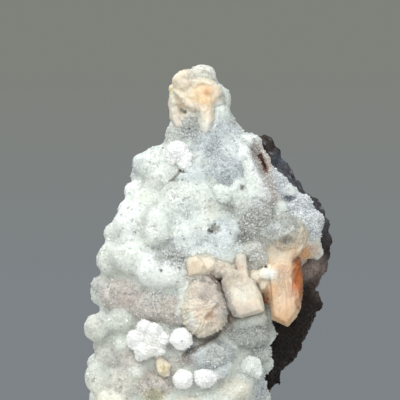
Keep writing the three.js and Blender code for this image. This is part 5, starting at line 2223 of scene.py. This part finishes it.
@dataclass
class FingerWrap(Stilbite):
    """The cream and peach crystals wrapped round the finger."""

    node: str = "stilbite_finger_wrap"
    slot: str = "stilbite_cream"
    finish: PearlFinish = CREAM_PEARL
    ground: Tint = Tint.CREAM
    grit: float = 0.04
    sugar: int = 700
    sugar_spread: float = 0.08
    depth: float = -4.0
    seed: int = 65
    patches: Layers = laid(
        (-6, 90.6, 2.8, Tint.CREAM, 0.9, 2.6), (-8.6, 87.9, 0.9, Tint.STRAW, 0.6),
        (-1.4, 91.6, 2.4, Tint.CREAM_DRUSE, 0.8, 1.6), (-0.2, 86, 4.4, Tint.APRICOT, 0.8, 4),
        (0.5, 87.2, 1.5, Tint.ORANGE_PEACH, 0.6, 1.2), (-4.4, 87, 1.8, Tint.CREAM, 0.5),
        (3.2, 85.8, 1.7, Tint.BLUSH, 0.8, 2.4), (4.8, 86, 1.2, Tint.GREY_GREEN, 0.8, 3),
        (3.6, 83.2, 1.6, Tint.COOL_WHITE, 0.8, 1.6),
        (((-0.4, 82.4), (0.2, 80.6), (0.3, 78)), 1.8, Tint.PALE_CREAM, 0.5),
        (-1.2, 79.4, 1.4, Tint.GREY_GREEN, 0.6, 2.6), (0.6, 78, 2.2, Tint.CREAM_DRUSE, 0.8, 1.8),
        (-2.6, 83.2, 1.5, Tint.PALE_CREAM, 0.9), (-3.2, 80.8, 2.8, Tint.GREIGE, 0.9, 2.2),
        (((-4, 89.4), (-1, 89.4), (1.6, 89), (3.8, 88.2)), 0.6, Tint.PALE_CREAM, 0.9),
        # (-5.2, 82.1): painted shade in the small pit
        (-5.2, 82.1, 0.8, Tint.DIRT_AND_SHADE, 0.85, 0.7), (-6.8, 79.2, 1.8, Tint.BLUSH, 0.9, 2),
        (-6.8, 79.4, 2, Tint.MAUVE_SUGAR, 0.5, 2), (0.4, 77.6, 2.6, Tint.GREIGE, 0.7, 2.4),
        (((-8.1, 86), (-8, 83), (-7.6, 81)), 0.9, Tint.CREAM_DRUSE, 0.8),
    )
    sugar_patches: Layers = laid(
        (-3.4, 91, 3, Tint.CREAM_DRUSE, 0.6, 2), (4.6, 86, 1.4, Tint.GREY_GREEN, 0.6, 3),
        (-2.4, 83, 1.6, Tint.PALE_CREAM, 0.6, 1.6), (-7.8, 83, 1.2, Tint.CREAM_DRUSE, 0.4, 3.4),
    )

    def bodies(self) -> list[Skin]:
        """The left lump, the ledge, the middle, the slanting blade, the strand and the strip."""
        strand = [(-7.6, -2.6, 87), (-7.8, -2.3, 83.8), (-7.4, -2.8, 81), (-6.6, -4.0, 78.8)]
        slant = [(-7.0, -3.8, 87.0), (-5.6, -4.7, 85.7), (-4.2, -5.1, 84.2), (-3.0, -5.2, 83.4)]
        ledge = [(-4.4, -4.8, 89.9), (-1.6, -5.4, 89.5), (1.5, -5.3, 89.1), (3.8, -4.2, 88.4)]
        tongue = [(0.0, -4.2, 84.4), (0.1, -4.3, 81.8), (0.2, -5.0, 79.4), (0.1, -7.1, 77.3)]
        return [
            egg((-1.4, -2.3, 86), (6.1, 3.3, 4.8)),
            egg((-5.0, -2.4, 89.3), (3.3, 3.0, 3.3), 0.3),
            egg((-8.0, -2.0, 88), (1.2, 1.5, 1.2)),
            egg((-1.6, -3.2, 88.8), (3.4, 2.3, 2.0)),
            egg((0.4, -3.7, 86.4), (4.1, 2.4, 3.3)),
            egg((-0.4, -3.7, 84), (3.4, 2.1, 2.8)),
            egg((2.8, -2.8, 84.8), (2.4, 2.2, 3.2)),
            rod(ledge, [0.35, 0.45, 0.45, 0.3]),
            rod(slant, [0.9, 0.95, 1.0, 1.0]),
            rod(strand, [1.3, 1.4, 1.4, 1.1]),
            egg((-2.9, -4.4, 83.2), (1.6, 1.4, 1.2)),
            egg((-2.9, -3.0, 81.4), (3.2, 2.0, 2.4)),
            egg((-5.6, -2.4, 80.4), (1.8, 1.7, 1.8)),
            rod(tongue, [2.5, 2.3, 2.1, 1.4]),
        ]

    def lines(self, at: Array) -> Array:
        """Small lumps and the small pit.

        Args:
            at: Points in table millimetres.

        Returns:
            One distance for each point.
        """
        pit = 0.9 * eased(1.2 - off(at, -5.3, 82) / 0.8)
        lumps = 0.26 * wander(at, 1.9, 31) + 0.13 * wander(at, 0.7, 32)
        return lumps - np.where(at[:, 1] < -2, pit, 0)


# ---- Studio --------------------------------------------------------------------------------


@dataclass
class Studio:
    """The camera, the lights, and a pale floor that rises into a mid-grey wall."""

    aim: Triple = (SIGHT[0], 0.0, SIGHT[1])
    view_width: float = 100.0  # millimetres across the picture at the aim
    distance: float = SIGHT_REACH
    sensor: float = 36.0
    far_end_m: float = 20.0
    bowl_radius_m: float = 2.2
    bowl_height_m: float = 1.5
    bowl_curve_m: float = 0.6
    bowl_sides: int = 72
    bowl_steps: int = 8
    floor_rings_m: tuple[float, ...] = (0.05, 0.12, 0.25, 0.6, 1.1)
    floor_gap_m: float = 0.00005  # so that floor and base don't share a plane
    pale_to_m: float = 0.1
    grey_from_m: float = 0.17
    grey_height_m: float = 0.16
    grey_low: Triple = (0.207, 0.229, 0.242)
    grey_high: Triple = (0.214, 0.221, 0.198)
    floor_pale: Triple = (0.62, 0.62, 0.6)
    key_size: float = 0.28
    key_power: float = 2.35
    key_colour: Triple = (1.0, 0.985, 0.95)
    key_places: Rows = (
        (-0.95, -0.7, 0.62), (-0.5, -0.8, 0.95), (-0.45, -1.05, 0.5), (-0.05, -0.95, 0.85),
        (0.2, -1.15, 0.55),
    )
    sky_colour: Triple = (0.93, 0.97, 1.0)
    sky_strength: float = 0.88

    def camera(self) -> None:
        """Places the camera level with the middle of the picture."""
        data = bpy.data.cameras.new("camera")
        data.sensor_width = self.sensor
        data.lens = self.sensor * self.distance / self.view_width
        data.clip_end = self.far_end_m
        camera = placed("camera", data)
        x, y, z = self.aim
        camera.location = (x * MM, (y - self.distance) * MM, z * MM)
        camera.rotation_euler = (math.pi / 2, 0, 0)
        bpy.context.scene.camera = camera

    def light(
        self,
        name: str,
        at: Triple,
        size: float,
        power: float,
        colour: Triple,
    ) -> None:
        """Places a square soft light that looks at the cluster.

        Args:
            name: The light's name.
            at: Where it stands, in metres.
            size: Its side, in metres.
            power: Its power, in watts.
            colour: Its linear colour.
        """
        data = bpy.data.lights.new(name, "AREA")
        data.size, data.energy, data.color = size, power, colour
        lamp = placed(name, data)
        lamp.location = at
        way = Vector((0, 0, 0.05)) - Vector(at)
        lamp.rotation_euler = way.to_track_quat("-Z", "Y").to_euler()
        lamp.visible_camera = False

    def lights(self) -> None:
        """A soft key from the upper left, a weak fill, a back light and the sky."""
        for i, at in enumerate(self.key_places):
            self.light(f"key_{i + 1}", at, self.key_size, self.key_power, self.key_colour)
        self.light("fill", (0.8, -1.1, 0.35), 1.1, 4.6, (0.95, 0.98, 1.0))
        self.light("back", (-0.5, 0.6, 0.7), 0.6, 2.6, (0.98, 0.99, 1.0))
        world = bpy.data.worlds.new("sky")
        world.use_nodes = True
        sky = world.node_tree.nodes["Background"]
        sky.inputs["Color"].default_value = (*self.sky_colour, 1)
        sky.inputs["Strength"].default_value = self.sky_strength
        bpy.context.scene.world = world

    def profile(self) -> list[Pair]:
        """The bowl's radius and height at each of its rings, from the middle outwards."""
        curve, rows = self.bowl_curve_m, [(radius, 0.0) for radius in self.floor_rings_m]
        for i in range(1, self.bowl_steps + 1):
            turn = i / self.bowl_steps * math.pi / 2
            radius = self.bowl_radius_m - curve + curve * math.sin(turn)
            rows.append((radius, curve - curve * math.cos(turn)))
        return [*rows, (self.bowl_radius_m, self.bowl_height_m)]

    def bowl(self) -> None:
        """A floor that curves up into a round wall, open at the top."""
        sheet = bmesh.new()
        turns = [2 * math.pi * i / self.bowl_sides for i in range(self.bowl_sides)]
        rings = []
        for radius, height in self.profile():
            ring = [(radius * math.cos(turn), radius * math.sin(turn), height) for turn in turns]
            rings.append([sheet.verts.new(corner) for corner in ring])
        sheet.faces.new(rings[0])
        for inner, outer in zip(rings, rings[1:]):
            for i in range(self.bowl_sides):
                after = (i + 1) % self.bowl_sides
                sheet.faces.new((inner[i], outer[i], outer[after], inner[after]))
        for face in sheet.faces:
            face.smooth = True
        mesh = bpy.data.meshes.new("floor_and_wall")
        sheet.to_mesh(mesh)
        sheet.free()
        mesh.transform(Matrix.Translation((0, 0, -self.floor_gap_m)))
        mesh.materials.append(self.bowl_paint())
        placed("floor_and_wall", mesh)

    def bowl_paint(self) -> bpy.types.Material:
        """Pale under the cluster, an even mid-grey further out."""
        recipe = Recipe("floor_and_wall")
        at = recipe.add("ShaderNodeSeparateXYZ", {0: recipe.place()}).outputs
        flat = recipe.add("ShaderNodeCombineXYZ", {"X": at["X"], "Y": at["Y"]}).outputs[0]
        far = recipe.add("ShaderNodeVectorMath", {0: flat}, operation="LENGTH").outputs["Value"]
        out = recipe.between(far, self.pale_to_m, self.grey_from_m, 0, 1)
        up = recipe.between(at["Z"], 0.0, self.grey_height_m, 0, 1)
        greys = {"Factor": up, "A": (*self.grey_low, 1), "B": (*self.grey_high, 1)}
        grey = recipe.add("ShaderNodeMix", greys, data_type="RGBA").outputs["Result"]
        glow = recipe.add("ShaderNodeEmission", {"Color": grey}).outputs["Emission"]
        matt = recipe.add("ShaderNodeBsdfDiffuse", {"Color": (*self.floor_pale, 1)})
        mixed = recipe.add("ShaderNodeMixShader", {"Fac": out, 1: matt.outputs["BSDF"], 2: glow})
        recipe.feed(recipe.output, "Surface", mixed.outputs["Shader"])
        recipe.tree.nodes.remove(recipe.surface)
        return recipe.material

    def build(self) -> None:
        """Sets the studio up."""
        bpy.context.scene.view_settings.view_transform = "Standard"
        self.camera()
        self.lights()
        self.bowl()


# ---- The cluster ---------------------------------------------------------------------------


def puffballs() -> list[Puffball]:
    """The white balls, where each grew."""
    return [
        Puffball(
            "puffball_neck",
            ((-6.8, 71.8, 2.9), (-5.2, 70.4, 2.2), (-4.9, 68.8, 1.6), (-8.2, 70.6, 1.6)),
            seed=2,
        ),
        Puffball(
            "puffball_small", ((4.6, 61.2, 2.1), (3.3, 62.3, 1.5)), Tint.BRIGHT_WHITE, seed=3
        ),
        Puffball(
            "puffball_cluster",
            (
                (-17.4, 25.4, 2.1), (-14.9, 25.6, 3), (-13, 25.8, 2.8), (-15.2, 22.8, 2.4),
                (-13.2, 23.4, 2.6), (-15.2, 28.2, 1.7), (-17.2, 23.6, 1.6), (-10.9, 25, 2),
                (-12.8, 27.6, 1.6), (-16.2, 21, 1.3), (-11.4, 22.4, 1.4),
            ),
            patches=laid((-13.4, 23.4, 3.4, Tint.WARM_WHITE, 0.3)),
            seed=4,
        ),
        Puffball(
            "puffball_round",
            ((-5.8, 25.3, 3),),
            patches=laid((-5.8, 24.8, 0.3, Tint.GROOVE, 0.7)),
            seed=5,
        ),
        Puffball("puffball_low_left", ((-5.5, 15.2, 2.6),), seed=6),
        Puffball(
            "puffball_low_middle",
            ((0.1, 15.8, 2.9), (3.6, 17.6, 2.2), (5, 19, 1.5)),
            patches=laid((4.6, 18.4, 3.0, Tint.COOL_WHITE, 0.9)),
            seed=7,
        ),
        Puffball(
            "puffball_low_right",
            ((11.4, 18.4, 2.6), (12.6, 17.0, 1.6)),
            Tint.BRIGHT_WHITE,
            seed=8,
        ),
    ]


def main() -> None:
    """Builds the studio and the cluster."""
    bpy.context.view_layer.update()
    Studio().build()
    BrokenBasalt().build()
    Druse().build()
    silk = SILK.material()
    for ball in puffballs():
        ball.build(silk)
    Spherule().build()
    for group in (UpperBlade(), RoundSheaf(), CentreBlade(), BowTie(), FingerWrap()):
        group.build()


if __name__ == "__main__":
    main()
